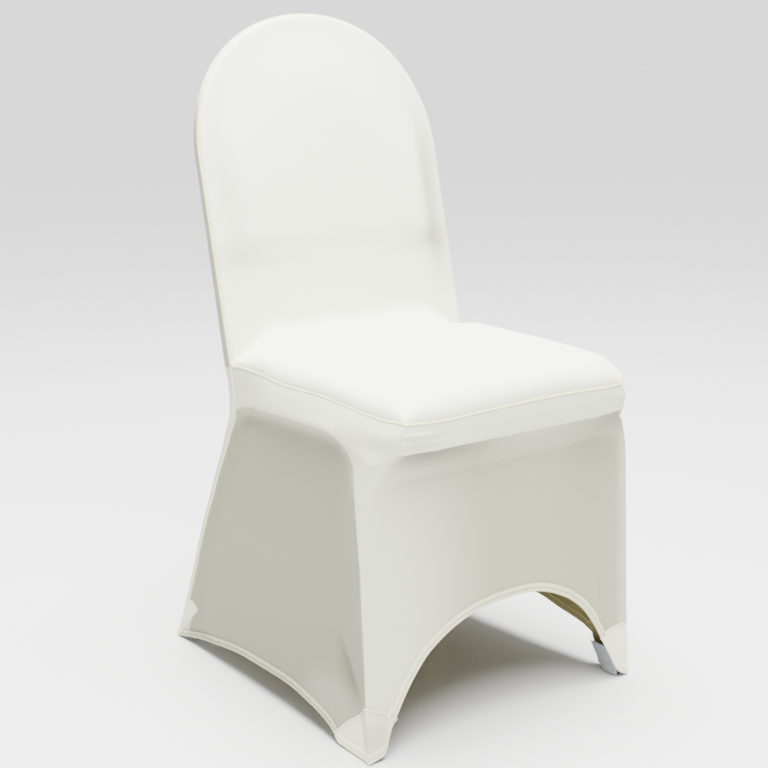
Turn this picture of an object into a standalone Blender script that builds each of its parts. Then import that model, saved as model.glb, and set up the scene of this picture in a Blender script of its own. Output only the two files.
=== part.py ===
"""A stretch-knit cover for a round-backed stacking chair, as the sheets a maker cuts and sews.

Metres, +Z up, the front towards -Y. The places below are measured from the floor under the
middle of the chair, and the whole model then hangs from the inside of its crown, which is the
origin. The chair itself is left out, so the cover is hollow.
"""

import math

import bpy
import numpy as np

# Cloth
SHEET = 0.0016
HEM_SHEET = 0.0028
PATCH_SHEET = 0.0012
GAP = 0.0003
SEAM_GAP = 0.0004

# Back: a flat outline with a round crown, leaning backwards
LEAN = math.radians(13.09)
BACK_FOOT_Y = 0.0640
BACK_FOOT_Z = 0.3920
BACK_HALF = 0.2060
SHOULDER = 0.3480
CROWN = 0.5535
CROWN_POWER = 2.1
JUNCTION = 0.0630
RIM_ROLL = 0.0120
RIM_LIFT = 0.0060
PAD_LIFT = 0.0110
PAD_EDGE = 0.0220
PAD_SLOPE = 0.0320
PAD_FOOT = 0.1850
PAD_FOOT_SLOPE = 0.0400
PAD_CROWN = 0.0040

# Seat cushion under the front panel
SEAT_HALF = 0.2055
CORNERS = (
    # side, half width at the front, how far the corner is set back, length of its round
    (-1.0, 0.1925, 0.0000, 0.1500),
    (1.0, 0.1750, 0.0060, 0.0900),
)
SEAT_BACK_Y = 0.0783
SEAT_FRONT_Y = -0.3030
SEAM_BACK_Z = 0.4534
SEAM_FRONT_Z = 0.4405
SEAT_RISE = 0.0310
SEAT_RISE_AT_BACK = 0.50
SEAT_CROWN = 0.0060
SEAT_ROLL = 0.0450
BRIDGE = 0.0600
BRIDGE_EDGE = 0.0060

# Legs of the chair, as the cloth meets them
FRONT_FOOT = (0.2295, -0.2690)
REAR_FOOT = (0.2080, 0.2540)

# Mesh steps
ARC_ROWS = 6
BACK_ROWS = 11
SEAT_ROWS = 12
LEG_LEVELS = (0.4534, 0.4300, 0.4000, 0.3880, 0.3740)
MEMBRANE_ROWS = 7
LOWER_ROWS = len(LEG_LEVELS) - 1 + MEMBRANE_ROWS
ROW_CROWDING = 1.3
INNER_COLUMNS = 16
LOOPS = (0.0, 0.0030, 0.0090, 0.0190, 0.0310, 0.0480)

# Rim of the rear panel: how far out from the outline, and how far behind it
RIM = (
    # out, behind
    (0.0000, 0.0000),
    (0.0012, 0.0040),
    (0.0008, 0.0090),
    (-0.0018, 0.0150),
    (-0.0070, 0.0200),
    (-0.0160, 0.0230),
)
RIM_INNER = (-0.0480, 0.0245)
RIM_AT_SEAT = 1.30
RIM_AT_FOOT = 0.60

# Seam between the side and the rear panel, from the seat down to the floor
REAR_SEAM = (
    # z, x, y
    (0.4534, 0.2055, 0.0783),
    (0.4320, 0.2052, 0.0733),
    (0.4100, 0.2062, 0.0703),
    (0.3920, 0.2085, 0.0692),
    (0.3530, 0.2128, 0.0808),
    (0.2790, 0.2136, 0.1170),
    (0.1790, 0.2115, 0.1690),
    (0.0685, 0.2094, 0.2200),
    (0.0000, 0.2080, 0.2540),
)

# Lower edge of the seat frame on the side, where the cloth turns in
SIDE_RIDGE = (
    # y, z
    (0.0690, 0.392),
    (0.0500, 0.402),
    (0.0090, 0.410),
    (-0.0850, 0.414),
    (-0.1710, 0.416),
    (-0.2215, 0.406),
    (-0.2430, 0.386),
    (-0.2560, 0.352),
)
SIDE_RECESS = 0.0080
SIDE_RECESS_DROP = 0.0170

# Hems
FRONT_HEM = (
    # x, z
    (-0.2295, 0.0000),
    (-0.2030, 0.0060),
    (-0.1950, 0.0370),
    (-0.1690, 0.0760),
    (-0.1390, 0.1100),
    (-0.1160, 0.1380),
    (-0.0720, 0.1590),
    (-0.0150, 0.1685),
    (0.0430, 0.1670),
    (0.0900, 0.1525),
    (0.1210, 0.1340),
    (0.1470, 0.1070),
    (0.1690, 0.0740),
    (0.1870, 0.0480),
    (0.2130, 0.0080),
    (0.2295, 0.0000),
)
LEFT_HEM = (
    # y, z
    (-0.2690, 0.0000),
    (-0.2050, 0.0010),
    (-0.1750, 0.0190),
    (-0.1370, 0.0290),
    (-0.0620, 0.0377),
    (0.0450, 0.0353),
    (0.1650, 0.0196),
    (0.2540, 0.0000),
)
RIGHT_HEM = (
    # y, z
    (-0.2690, 0.0000),
    (-0.2150, 0.0010),
    (-0.2030, 0.0430),
    (-0.1340, 0.0610),
    (-0.0795, 0.0717),
    (0.0300, 0.0730),
    (0.1300, 0.0560),
    (0.2100, 0.0060),
    (0.2540, 0.0000),
)
REAR_HEM_RISE = 0.1250

# Foot pieces
PATCH_ROWS = 2
PATCH_COLUMNS = (2, 2, 4)
POCKET_HEIGHT = 0.0400
POCKET_FLARE = 0.4500
POCKET_BOW = 0.0050
FEET = (
    # name, side, foot, pocket's reach across and along, how the leg leans back as it goes down,
    # how far the pocket stays inside the cloth's outer face
    ("front_left", -1.0, FRONT_FOOT, 0.0260, 0.0500, -0.045, 0.0036),
    ("front_right", 1.0, FRONT_FOOT, 0.0170, 0.0500, -0.045, 0.0042),
    ("rear_left", -1.0, REAR_FOOT, 0.0300, 0.0340, 0.465, 0.0031),
    ("rear_right", 1.0, REAR_FOOT, 0.0300, 0.0340, 0.465, 0.0031),
)

FABRIC = ("ivory_knit", (0.83, 0.81, 0.74, 1.0), 0.62)
PATCH_FABRIC = ("ivory_knit_double", (0.86, 0.83, 0.72, 1.0), 0.66)
POCKET_FABRIC = ("grey_knit", (0.42, 0.45, 0.50, 1.0), 0.72)


def clear_scene():
    """Starts from an empty scene."""
    for old in list(bpy.data.objects):
        bpy.data.objects.remove(old, do_unlink=True)


def fabric(look):
    """A cloth material of one colour."""
    name, colour, roughness = look
    material = bpy.data.materials.get(name) or bpy.data.materials.new(name)
    material.use_nodes = True
    shader = material.node_tree.nodes["Principled BSDF"]
    shader.inputs["Base Color"].default_value = colour
    shader.inputs["Roughness"].default_value = roughness
    shader.inputs["Metallic"].default_value = 0.0
    return material


def look_up(table, value, key=0, column=1):
    """One column of a table, read in a straight line between its rows."""
    rows = sorted(table, key=lambda row: row[key])
    return float(np.interp(value, [row[key] for row in rows], [row[column] for row in rows]))


def ease(value):
    """0 to 1 with flat ends."""
    value = min(max(value, 0.0), 1.0)
    return value * value * (3.0 - 2.0 * value)


def round_over(distance, reach):
    """0 at an edge to 1 at `reach` inside it, upright at the edge like a rounded cushion."""
    inside = min(max(distance / reach, 0.0), 1.0)
    return (1.0 - (1.0 - inside) ** 2.2) ** (1.0 / 2.2)


def back_point(x, up, forward):
    """A place on the leaning back: `up` along it, `forward` off it."""
    return np.array(
        (
            x,
            BACK_FOOT_Y + up * math.sin(LEAN) - forward * math.cos(LEAN),
            BACK_FOOT_Z + up * math.cos(LEAN) + forward * math.sin(LEAN),
        )
    )


HOOK = back_point(0.0, CROWN - SHEET, -0.010)


def crown_point(angle, inset, power):
    """The crown's outline at an angle, drawn in by `inset`."""
    c, s = math.cos(angle), math.sin(angle)
    across = (BACK_HALF - inset) * math.copysign(abs(c) ** (2.0 / power), c)
    rise = (CROWN - SHOULDER - inset) * abs(s) ** (2.0 / power)
    return across, SHOULDER + rise


def inside_outline(x, up):
    """How far a place of the back lies inside its outline."""
    if up <= SHOULDER:
        return BACK_HALF - abs(x)
    share = (abs(x) / BACK_HALF) ** CROWN_POWER
    share += ((up - SHOULDER) / (CROWN - SHOULDER)) ** CROWN_POWER
    return (1.0 - share ** (1.0 / CROWN_POWER)) * BACK_HALF


def corner_of(side):
    """The row of the seat's corners on this side."""
    return CORNERS[0] if side < 0 else CORNERS[1]


def seat_half(y, side):
    """Half the seat's width at the seam, drawn in towards the front corner."""
    _, half, _, length = corner_of(side)
    share = min(max((y - SEAT_FRONT_Y) / length, 0.0), 1.0)
    return half + (SEAT_HALF - half) * (1.0 - (1.0 - share) ** 2.5)


def seat_front(x):
    """The front seam's place, set back a little towards the corners."""
    _, half, back, _ = corner_of(x)
    return SEAT_FRONT_Y + back * min(abs(x) / half, 1.0) ** 6


def seam_height(y):
    """Height of the seat's seam."""
    share = (y - SEAT_FRONT_Y) / (SEAT_BACK_Y - SEAT_FRONT_Y)
    return SEAM_FRONT_Z + (SEAM_BACK_Z - SEAM_FRONT_Z) * max(share, 0.0) ** 0.8


def back_surface(x, up):
    """The front panel over the rim and the raised pad."""
    inset = inside_outline(x, up)
    forward = RIM_LIFT * round_over(inset, RIM_ROLL)
    pad = ease((inset - PAD_EDGE) / PAD_SLOPE) * ease((up - PAD_FOOT) / PAD_FOOT_SLOPE)
    forward += PAD_LIFT * pad + PAD_CROWN * (1.0 - (x / BACK_HALF) ** 2) * ease(inset / 0.1)
    return back_point(x, up, forward)


def seat_surface(x, y):
    """The front panel over the seat cushion."""
    inset = seat_half(y, x) - abs(x)
    side = round_over(inset, SEAT_ROLL)
    front = round_over(y - seat_front(x), SEAT_ROLL)
    low = 1.0 - ease((SEAT_BACK_Y - y) / 0.09)
    rise = SEAT_RISE * (1.0 - (1.0 - SEAT_RISE_AT_BACK) * low) + SEAT_CROWN * ease(inset / 0.15)
    return np.array((x, y, seam_height(y) + rise * side * front))


def front_surface(x, along):
    """The front panel: `along` is above 0 on the back and below 0 on the seat."""
    inset = BACK_HALF - abs(x)
    reach = BRIDGE_EDGE + (BRIDGE - BRIDGE_EDGE) * ease(inset / 0.075)
    if along >= reach:
        return back_surface(x, JUNCTION + along)
    if along <= -reach:
        return seat_surface(x, SEAT_BACK_Y + along)
    high = back_surface(x, JUNCTION + reach)
    low = seat_surface(x, SEAT_BACK_Y - reach)
    slope = math.tan(LEAN)
    corner = np.array((x, high[1] - slope * (high[2] - low[2]), low[2]))
    share = (reach - along) / (2.0 * reach)
    return (1 - share) ** 2 * high + 2 * share * (1 - share) * corner + share ** 2 * low


def spread(start, end, steps):
    """Even steps from start to end."""
    return [start + (end - start) * n / steps for n in range(steps + 1)]


def side_rows(lower):
    """Places down one side, from the crown's corner: (angle or None, along)."""
    arc = [(angle, None) for angle in spread(math.radians(45), 0.0, ARC_ROWS)]
    straight = [(None, a) for a in spread(SHOULDER - JUNCTION, 0.0, BACK_ROWS)[1:]]
    return arc + straight + [(None, a) for a in lower]


def relax(places, rounds):
    """Evens out a grid of flat places, its border held."""
    for _ in range(rounds):
        mid = places[:-2, 1:-1] + places[2:, 1:-1] + places[1:-1, :-2] + places[1:-1, 2:]
        places[1:-1, 1:-1] = mid / 4.0
    return places


def crown_grid(inset, power):
    """Flat places of the crown inside its last loop: grid[row][column] of (x, up)."""
    rows, columns = ARC_ROWS, INNER_COLUMNS
    top = [crown_point(a, inset, power) for a in spread(math.radians(135), math.radians(45), columns)]
    grid = np.zeros((rows + 1, columns + 1, 2))
    grid[0] = top
    for row, angle in enumerate(spread(math.radians(45), 0.0, rows)):
        x, up = crown_point(angle, inset, power)
        for column, x_at in enumerate(spread(-x, x, columns)):
            if row:
                share = row / rows
                grid[row, column] = (x_at, up * share + grid[0, column, 1] * (1 - share))
        if row:
            grid[row, 0] = (-x, up)
            grid[row, -1] = (x, up)
    return relax(grid, 60)


class Cloth:
    """All the panels' outer faces, which share the points on their seams."""

    def __init__(self):
        self.places = []
        self.number = {}
        self.panels = {}

    def point(self, key, place):
        """The point with this key, made on first use."""
        if key not in self.number:
            self.number[key] = len(self.places)
            self.places.append(np.array(place, dtype=float))
        return self.number[key]

    def quad(self, panel, corners):
        """Adds one face, its corners counter-clockwise from outside."""
        self.panels.setdefault(panel, []).append(tuple(corners))

    def normals(self):
        """Outward directions, long enough at a crease for an even thickness."""
        flat = []
        for faces in self.panels.values():
            for face in faces:
                a, b, c, d = (self.places[n] for n in face)
                normal = np.cross(c - a, d - b)
                flat.append((face, normal / max(np.linalg.norm(normal), 1e-12)))
        total = np.zeros((len(self.places), 3))
        for face, normal in flat:
            for place, n in enumerate(face):
                before = self.places[face[place - 1]] - self.places[n]
                after = self.places[face[(place + 1) % 4]] - self.places[n]
                cosine = before @ after / (np.linalg.norm(before) * np.linalg.norm(after))
                total[n] += normal * math.acos(min(max(cosine, -1.0), 1.0))
        total /= np.linalg.norm(total, axis=1)[:, None]
        reach = np.ones(len(self.places))
        for face, normal in flat:
            for n in face:
                reach[n] = min(reach[n], float(total[n] @ normal))
        return total / np.maximum(reach, 0.6)[:, None]


def horseshoe(cloth, panel, rows, loops, edge_key, place, inner, flip):
    """A panel of loops that run up one side, over the crown and down the other, and a grid inside.

    place(loop, m) gives a point on a loop, inner(row, column) one in the grid.
    """
    columns = INNER_COLUMNS
    length = 2 * rows + columns

    def corner(loop, m):
        if loop < loops:
            key = edge_key(m) if loop == 0 else (panel, "loop", loop, m)
            return cloth.point(key, place(loop, m))
        if m <= rows:
            return grid(rows - m, 0)
        if m <= rows + columns:
            return grid(0, m - rows)
        return grid(m - rows - columns, columns)

    def grid(row, column):
        return cloth.point((panel, "grid", row, column), inner(row, column))

    def add(corners):
        cloth.quad(panel, corners[::-1] if flip else corners)

    for loop in range(loops):
        for m in range(length):
            add([corner(loop, m), corner(loop + 1, m), corner(loop + 1, m + 1), corner(loop, m + 1)])
    for row in range(rows):
        for column in range(columns):
            add([grid(row, column), grid(row + 1, column), grid(row + 1, column + 1), grid(row, column + 1)])


def outline_place(m, rows, inset, table, power=CROWN_POWER):
    """Flat place (x side, x, along) number m of a loop that is drawn in by `inset`."""
    columns = INNER_COLUMNS
    if rows <= m <= rows + columns:
        angle = math.radians(135) - math.radians(90) * (m - rows) / columns
        x, up = crown_point(angle, inset, power)
        return (1.0 if x >= 0 else -1.0), x, up - JUNCTION
    side = -1.0 if m < rows else 1.0
    angle, along = table[rows - m if m < rows else m - rows - columns]
    if angle is not None:
        x, up = crown_point(angle, inset, power)
        return side, side * x, up - JUNCTION
    return side, side * (BACK_HALF - inset), along


def edge_key(lower, rows):
    """Names the points on a loop's outer edge, so that neighbours share them."""
    columns = INNER_COLUMNS
    shared = ARC_ROWS + BACK_ROWS

    def key(m):
        if rows <= m <= rows + columns:
            return ("crown", m - rows)
        side = "left" if m < rows else "right"
        row = rows - m if m < rows else m - rows - columns
        return ("rim", side, row) if row <= shared else (lower, side, row - shared)

    return key


SEAT_STEPS = [0.0] + [
    -d for d in (0.014, 0.036, 0.066, 0.105, 0.150, 0.200, 0.248, 0.290, 0.324, 0.350, 0.369, 0.3813)
][:SEAT_ROWS]


def front_panel(cloth):
    """Front of the back and top of the seat, one piece with no seam between them."""
    table = side_rows(SEAT_STEPS[1:])
    rows = ARC_ROWS + BACK_ROWS + SEAT_ROWS
    crown = crown_grid(LOOPS[-1], 3.0)
    last = len(LOOPS) - 1

    def at(x, along):
        if along < 0.0:
            far = (along / SEAT_STEPS[-1]) ** 4
            y = SEAT_BACK_Y + along
            x *= seat_half(y, x) / BACK_HALF
            along += (seat_front(x) - SEAT_FRONT_Y) * far
        return front_surface(x, along)

    def place(loop, m):
        _, x, along = outline_place(m, rows, LOOPS[loop], table)
        return at(x, along)

    def inner(row, column):
        if row <= ARC_ROWS:
            x, up = crown[row, column]
            return front_surface(x, up - JUNCTION)
        half = BACK_HALF - LOOPS[last]
        return at(half * (2.0 * column / INNER_COLUMNS - 1.0), table[row][1])

    horseshoe(cloth, "front_panel", rows, last, edge_key("seat", rows), place, inner, False)
    return rows


def rear_seam(z):
    """The seam down the rear leg at a height: x (half width) and y."""
    return look_up(REAR_SEAM, z, 0, 1), look_up(REAR_SEAM, z, 0, 2)


def membrane_parts():
    """How far down the free cloth each of its rows is, closer together towards the hem."""
    rows = MEMBRANE_ROWS
    return [1.0 - (1.0 - step / rows) ** ROW_CROWDING for step in range(1, rows + 1)]


def seam_height_at(row):
    """Heights down the rear seam, from the seat to the floor."""
    if row < len(LEG_LEVELS):
        return LEG_LEVELS[row]
    return LEG_LEVELS[-1] * (1.0 - membrane_parts()[row - len(LEG_LEVELS)])


def rear_hem(x):
    """Height of the rear hem, an arch between the feet."""
    half = REAR_FOOT[0]
    share = min(abs(x) / (half - 0.022), 1.0)
    return REAR_HEM_RISE * math.sqrt(1.0 - share ** 2.2)


def rear_panel(cloth):
    """Rim and back of the back, and down to the rear hem, one piece."""
    lower = list(range(1, LOWER_ROWS + 1))
    table = side_rows(lower)
    rows = ARC_ROWS + BACK_ROWS + LOWER_ROWS
    crown = crown_grid(-RIM_INNER[0], 3.0)
    shared = ARC_ROWS + BACK_ROWS
    loops = len(RIM)

    def lower_place(side, row, out, behind, x_share=None):
        """A place on the lower part; x_share is set in the inner grid."""
        z = seam_height_at(row)
        x, y = rear_seam(z)
        turn = ease(row / 5.0)
        lean = LEAN * (1.0 - turn) - math.radians(24.5) * turn
        behind *= RIM_AT_SEAT + (RIM_AT_FOOT - RIM_AT_SEAT) * turn
        wide = x + out
        if x_share is not None:
            wide *= x_share
        top = SEAM_BACK_Z
        bottom = rear_hem(wide)
        if wide < x - 0.012:
            z = bottom + z * (top - bottom) / top
            y = rear_seam(z)[1]
        drop = behind * math.sin(lean)
        return np.array((side * wide, y + behind * math.cos(lean), max(z - drop, 0.0)))

    def place(loop, m):
        out, behind = RIM[loop]
        side, x, along = outline_place(m, rows, -out, table)
        row = rows - m if m < rows else m - rows - INNER_COLUMNS
        if row > shared and not rows <= m <= rows + INNER_COLUMNS:
            return lower_place(side, row - shared, out, behind)
        return back_point(x, JUNCTION + along, -behind * thicker(along))

    def thicker(along):
        """The back is thicker towards the seat."""
        return RIM_AT_SEAT + (1.0 - RIM_AT_SEAT) * ease(along / (SHOULDER - JUNCTION))

    def inner(row, column):
        out, behind = RIM_INNER
        share = 2.0 * column / INNER_COLUMNS - 1.0
        behind += 0.004 * (1.0 - share * share)
        if row <= ARC_ROWS:
            x, up = crown[row, column]
            return back_point(x, up, -behind)
        if row <= shared:
            along = table[row][1]
            return back_point((BACK_HALF + out) * share, JUNCTION + along, -behind * thicker(along))
        side = 1.0 if share >= 0 else -1.0
        return lower_place(side, row - shared, out, behind, abs(share))

    horseshoe(cloth, "rear_panel", rows, loops, edge_key("leg", rows), place, inner, True)
    return rows


def side_plane(y):
    """Half width of the frame that the side's cloth lies against."""
    share = (y - FRONT_FOOT[1]) / (REAR_FOOT[1] - FRONT_FOOT[1])
    return FRONT_FOOT[0] + (REAR_FOOT[0] - FRONT_FOOT[0]) * share


def side_levels(share, side, hem):
    """Down the side, from the rear seam (0) to the front corner (1), true to the rear seam."""
    points = straight_side(share, side, hem)
    near = 1.0 - ease(share / 0.35)
    if near > 0.0:
        for row, straight in enumerate(straight_side(0.0, side, hem)):
            z = seam_height_at(row)
            x, y = rear_seam(z)
            points[row] = points[row] + (np.array((x, y, z)) - straight) * near
    return points


def straight_side(share, side, hem):
    """Down the side at a share of its length, with the free cloth straight to the hem."""
    _, corner_x, set_back, _ = corner_of(side)
    corner_y = SEAT_FRONT_Y + set_back
    seam_y = SEAT_BACK_Y + (SEAT_FRONT_Y - SEAT_BACK_Y) * share + set_back * share ** 4
    ridge_y = 0.0690 + (-0.2560 - 0.0690) * share
    foot_y = REAR_FOOT[1] + (FRONT_FOOT[1] - REAR_FOOT[1]) * share
    ridge_z = look_up(SIDE_RIDGE, ridge_y)
    plane = side_plane(ridge_y)
    near = ease((share - 0.80) / 0.20)
    recess = SIDE_RECESS * (1.0 - near) * ease(share / 0.12)
    boxing_y = (seam_y + ridge_y) / 2 * (1 - near) + corner_y * near
    turn_y = ridge_y * (1 - near) + (corner_y + 0.006) * near
    turn_x = plane * (1 - near) + (corner_x + 0.011) * near
    turn_z = (ridge_z + 0.004) * (1 - near) + 0.404 * near
    under_y = ridge_y * (1 - near) + (corner_y + 0.024) * near
    under_x = (plane - 0.001) * (1 - near) + (corner_x + 0.024) * near
    under_z = (ridge_z - 0.005) * (1 - near) + 0.384 * near
    frame_z = (ridge_z - SIDE_RECESS_DROP) * (1 - near) + 0.350 * near
    seam_x = seat_half(seam_y - set_back * share ** 4, side)
    boxing_x = (seam_x + turn_x) / 2 + 0.001
    boxing_z = (seam_height(seam_y) + turn_z) / 2
    frame = np.array((plane - recess, ridge_y, frame_z))
    foot = np.array((side_plane(foot_y), foot_y, hem(foot_y)))
    points = [
        np.array((seam_x, seam_y, seam_height(seam_y))),
        np.array((boxing_x, boxing_y, boxing_z)),
        np.array((turn_x, turn_y, turn_z)),
        np.array((under_x, under_y, under_z)),
        frame,
    ]
    for part in membrane_parts():
        points.append(frame + (foot - frame) * part)
    return points


def front_levels(share):
    """Down the front at a share of its half width, from -1 to 1."""
    hem_x = FRONT_FOOT[0] * share
    middle = 1.0 - share * share
    edge = ease((abs(share) - 0.72) / 0.28)
    _, corner_x, set_back, _ = corner_of(share)
    top_x = corner_x * share
    top_y = seat_front(top_x)
    turn_x = top_x + math.copysign(0.011 * edge, share)
    under_x = top_x + math.copysign(0.024 * edge, share)
    frame_x = side_plane(-0.256) * share
    frame_y = -0.2545 - 0.016 * middle
    hem_y = FRONT_FOOT[1] - 0.004 * middle
    frame = np.array((frame_x, frame_y, 0.360 - 0.010 * edge))
    foot = np.array((hem_x, hem_y, look_up(FRONT_HEM, hem_x)))
    points = [
        np.array((top_x, top_y, SEAM_FRONT_Z)),
        np.array((top_x + math.copysign(0.005 * edge, share), top_y - 0.002, 0.4220)),
        np.array((turn_x, top_y + 0.006 * edge, 0.4030)),
        np.array((under_x, top_y + 0.018 + 0.006 * edge, 0.3920 - 0.008 * edge)),
        frame,
    ]
    for part in membrane_parts():
        points.append(frame + (foot - frame) * part)
    return points


def front_seam_shares():
    """Where the front panel's last row meets the front seam, as shares of its half width."""
    half = BACK_HALF
    left = [-(half - inset) / half for inset in LOOPS[:-1]]
    edge = (half - LOOPS[-1]) / half
    inner = [edge * (2.0 * c / INNER_COLUMNS - 1.0) for c in range(INNER_COLUMNS + 1)]
    return left + inner + [-share for share in reversed(left)]


def skirt(cloth, front_rows):
    """Left side, front and right side in one piece, from the seat's seam down to the hems."""
    last = len(LOOPS) - 1
    columns = []
    for step in range(SEAT_ROWS + 1):
        share = -SEAT_STEPS[step] / -SEAT_STEPS[-1]
        columns.append(("left", step, share))
    shares = front_seam_shares()
    for n, share in enumerate(shares[1:-1], start=1):
        columns.append(("front", n, share))
    for step in range(SEAT_ROWS, -1, -1):
        columns.append(("right", step, -SEAT_STEPS[step] / -SEAT_STEPS[-1]))

    def top_key(where, n):
        if where in ("left", "right"):
            return ("seat", where, n) if n else ("rim", where, ARC_ROWS + BACK_ROWS)
        if n < last:
            return ("front_panel", "loop", n, 0)
        if n <= last + INNER_COLUMNS:
            return ("front_panel", "grid", front_rows, n - last)
        return ("front_panel", "loop", 2 * last + INNER_COLUMNS - n, 2 * front_rows + INNER_COLUMNS)

    grid = []
    for where, n, share in columns:
        if where == "front":
            levels = front_levels(share)
        else:
            sign = -1.0 if where == "left" else 1.0
            hem = LEFT_HEM if where == "left" else RIGHT_HEM
            levels = side_levels(abs(share), sign, lambda y, hem=hem: look_up(hem, y))
            levels = [point * (sign, 1.0, 1.0) for point in levels]
        line = []
        for row, point in enumerate(levels):
            if row == 0:
                key = top_key(where, n)
            elif where != "front" and n == 0:
                key = ("leg", where, row)
            else:
                key = ("skirt", where, n, row)
            line.append(cloth.point(key, point))
        grid.append(line)
    for left, right in zip(grid, grid[1:]):
        for row in range(len(left) - 1):
            cloth.quad("skirt", [left[row], left[row + 1], right[row + 1], right[row]])
    return grid


def solid(name, cloth, normals, faces, lift, depth, look, shrink=True):
    """Closes one panel into a sheet with an even thickness, set back a little from its seams."""
    used = sorted({n for face in faces for n in face})
    local = {n: k for k, n in enumerate(used)}
    sides = {}
    for face in faces:
        for place, n in enumerate(face):
            sides[(n, face[(place + 1) % 4])] = face
    border = [(a, b) for (a, b) in sides if (b, a) not in sides]
    places = np.array([cloth.places[n] for n in used])
    if shrink:
        shift = np.zeros_like(places)
        for a, b in border:
            along = cloth.places[b] - cloth.places[a]
            inward = np.mean([cloth.places[n] for n in sides[(a, b)]], axis=0)
            inward = inward - (cloth.places[a] + cloth.places[b]) / 2
            inward -= along * (inward @ along) / (along @ along)
            inward /= np.linalg.norm(inward)
            shift[local[a]] += inward
            shift[local[b]] += inward
        size = np.linalg.norm(shift, axis=1)
        moved = size > 0
        places[moved] += shift[moved] / size[moved][:, None] * SEAM_GAP / 2
    out = np.array([normals[n] for n in used])
    thick = np.array([depth(n) for n in used])[:, None]
    upper = places + out * lift
    lower = upper - out * thick
    count = len(used)
    polygons = []
    for face in faces:
        a, b, c, d = (local[n] for n in face)
        polygons += [(a, b, c), (a, c, d)]
        polygons += [(c + count, b + count, a + count), (d + count, c + count, a + count)]
    for a, b in border:
        a, b = local[a], local[b]
        polygons += [(b, a, a + count), (b, a + count, b + count)]
    return make_object(name, np.vstack((upper, lower)), polygons, look)


def make_object(name, places, polygons, look):
    """One closed body, hung from the origin."""
    mesh = bpy.data.meshes.new(name)
    mesh.from_pydata([tuple(place) for place in places], [], polygons)
    mesh.validate()
    mesh.update()
    mesh.materials.append(fabric(look))
    mesh.shade_smooth()
    body = bpy.data.objects.new(name, mesh)
    body.location = -HOOK
    bpy.context.scene.collection.objects.link(body)
    return body


def pocket(name, side, foot, across, reach, slope, clear):
    """The grey pouch inside one foot: a flat sole and a slanting inner wall, open at the top."""
    way = 1.0 if foot[1] < 0 else -1.0
    half, tip_y = foot
    tip = np.array((half - clear, tip_y + way * clear))
    start = np.array((half - across, tip_y + way * clear))
    end = np.array((side_plane(tip_y + way * reach) - clear, tip_y + way * reach))
    steps = 4
    wall = []
    for step in range(steps + 1):
        share = step / steps
        bow = POCKET_BOW * math.sin(math.pi * share)
        wall.append(start + (end - start) * share + np.array((-bow, way * bow)))
    inner = [point + (tip - point) * SHEET / np.linalg.norm(tip - point) * 1.3 for point in wall]
    ring = [tip] + wall
    places = [(p[0], p[1], 0.0) for p in ring]
    flare = POCKET_FLARE * POCKET_HEIGHT
    for line in (wall, inner):
        for step, p in enumerate(line):
            out = (p - tip) / np.linalg.norm(p - tip) * flare * step / steps
            places.append((p[0] + out[0], p[1] + out[1], POCKET_HEIGHT))
    places += [(p[0], p[1], SHEET) for p in inner]
    places.append((tip[0], tip[1], SHEET))
    n = steps + 1
    base, top, rim, sole, peak = 1, n + 1, 2 * n + 1, 3 * n + 1, 4 * n + 1
    polygons = [tuple([0] + [base + k for k in range(n)])]
    polygons.append(tuple([peak] + [sole + k for k in reversed(range(n))]))
    for k in range(steps):
        polygons.append((base + k + 1, base + k, top + k, top + k + 1))
        polygons.append((top + k + 1, top + k, rim + k, rim + k + 1))
        polygons.append((rim + k + 1, rim + k, sole + k, sole + k + 1))
    polygons.append((0, peak, sole, rim, top, base))
    polygons.append((0, base + steps, top + steps, rim + steps, sole + steps, peak))
    places = [(side * x, y - slope * z, z) for x, y, z in places]
    if side * way < 0:
        polygons = [face[::-1] for face in polygons]
    return make_object(name, places, polygons, POCKET_FABRIC)


def build():
    """All the pieces of the cover."""
    clear_scene()
    cloth = Cloth()
    front_rows = front_panel(cloth)
    columns = skirt(cloth, front_rows)
    rear_panel(cloth)
    normals = cloth.normals()
    hem = hem_points(cloth)
    for panel, faces in cloth.panels.items():
        solid(
            panel,
            cloth,
            normals,
            faces,
            0.0,
            lambda n: HEM_SHEET if n in hem else SHEET,
            FABRIC,
        )
    corners = (SEAT_ROWS, len(columns) - 1 - SEAT_ROWS)
    for where, side, foot, across, reach, slope, clear in FEET:
        rear = foot is REAR_FOOT
        if rear:
            seam = 0 if side < 0 else len(columns) - 1
            span = (seam, seam + PATCH_COLUMNS[0]) if side < 0 else (seam - PATCH_COLUMNS[0], seam)
        elif side < 0:
            span = (corners[0] - PATCH_COLUMNS[1], corners[0] + PATCH_COLUMNS[2])
        else:
            span = (corners[1] - PATCH_COLUMNS[2], corners[1] + PATCH_COLUMNS[1])
        near = []
        for column in range(*span):
            left, right = columns[column], columns[column + 1]
            for row in range(LOWER_ROWS - PATCH_ROWS, LOWER_ROWS):
                near.append((left[row], left[row + 1], right[row + 1], right[row]))
        if rear:
            near += rear_foot_faces(cloth, side)
        solid(
            "foot_patch_" + where,
            cloth,
            normals,
            near,
            GAP + PATCH_SHEET,
            lambda n: PATCH_SHEET,
            PATCH_FABRIC,
            shrink=False,
        )
        pocket("foot_pocket_" + where, side, foot, across, reach, slope, clear)


def rear_foot_faces(cloth, side):
    """The rear panel's faces in the loops around one foot."""
    per_loop = 2 * (ARC_ROWS + BACK_ROWS + LOWER_ROWS) + INNER_COLUMNS
    faces = []
    for loop in range(len(RIM) - 1):
        start = loop * per_loop
        ends = range(PATCH_ROWS) if side < 0 else range(per_loop - PATCH_ROWS, per_loop)
        faces += [cloth.panels["rear_panel"][start + m] for m in ends]
    return faces


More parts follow.
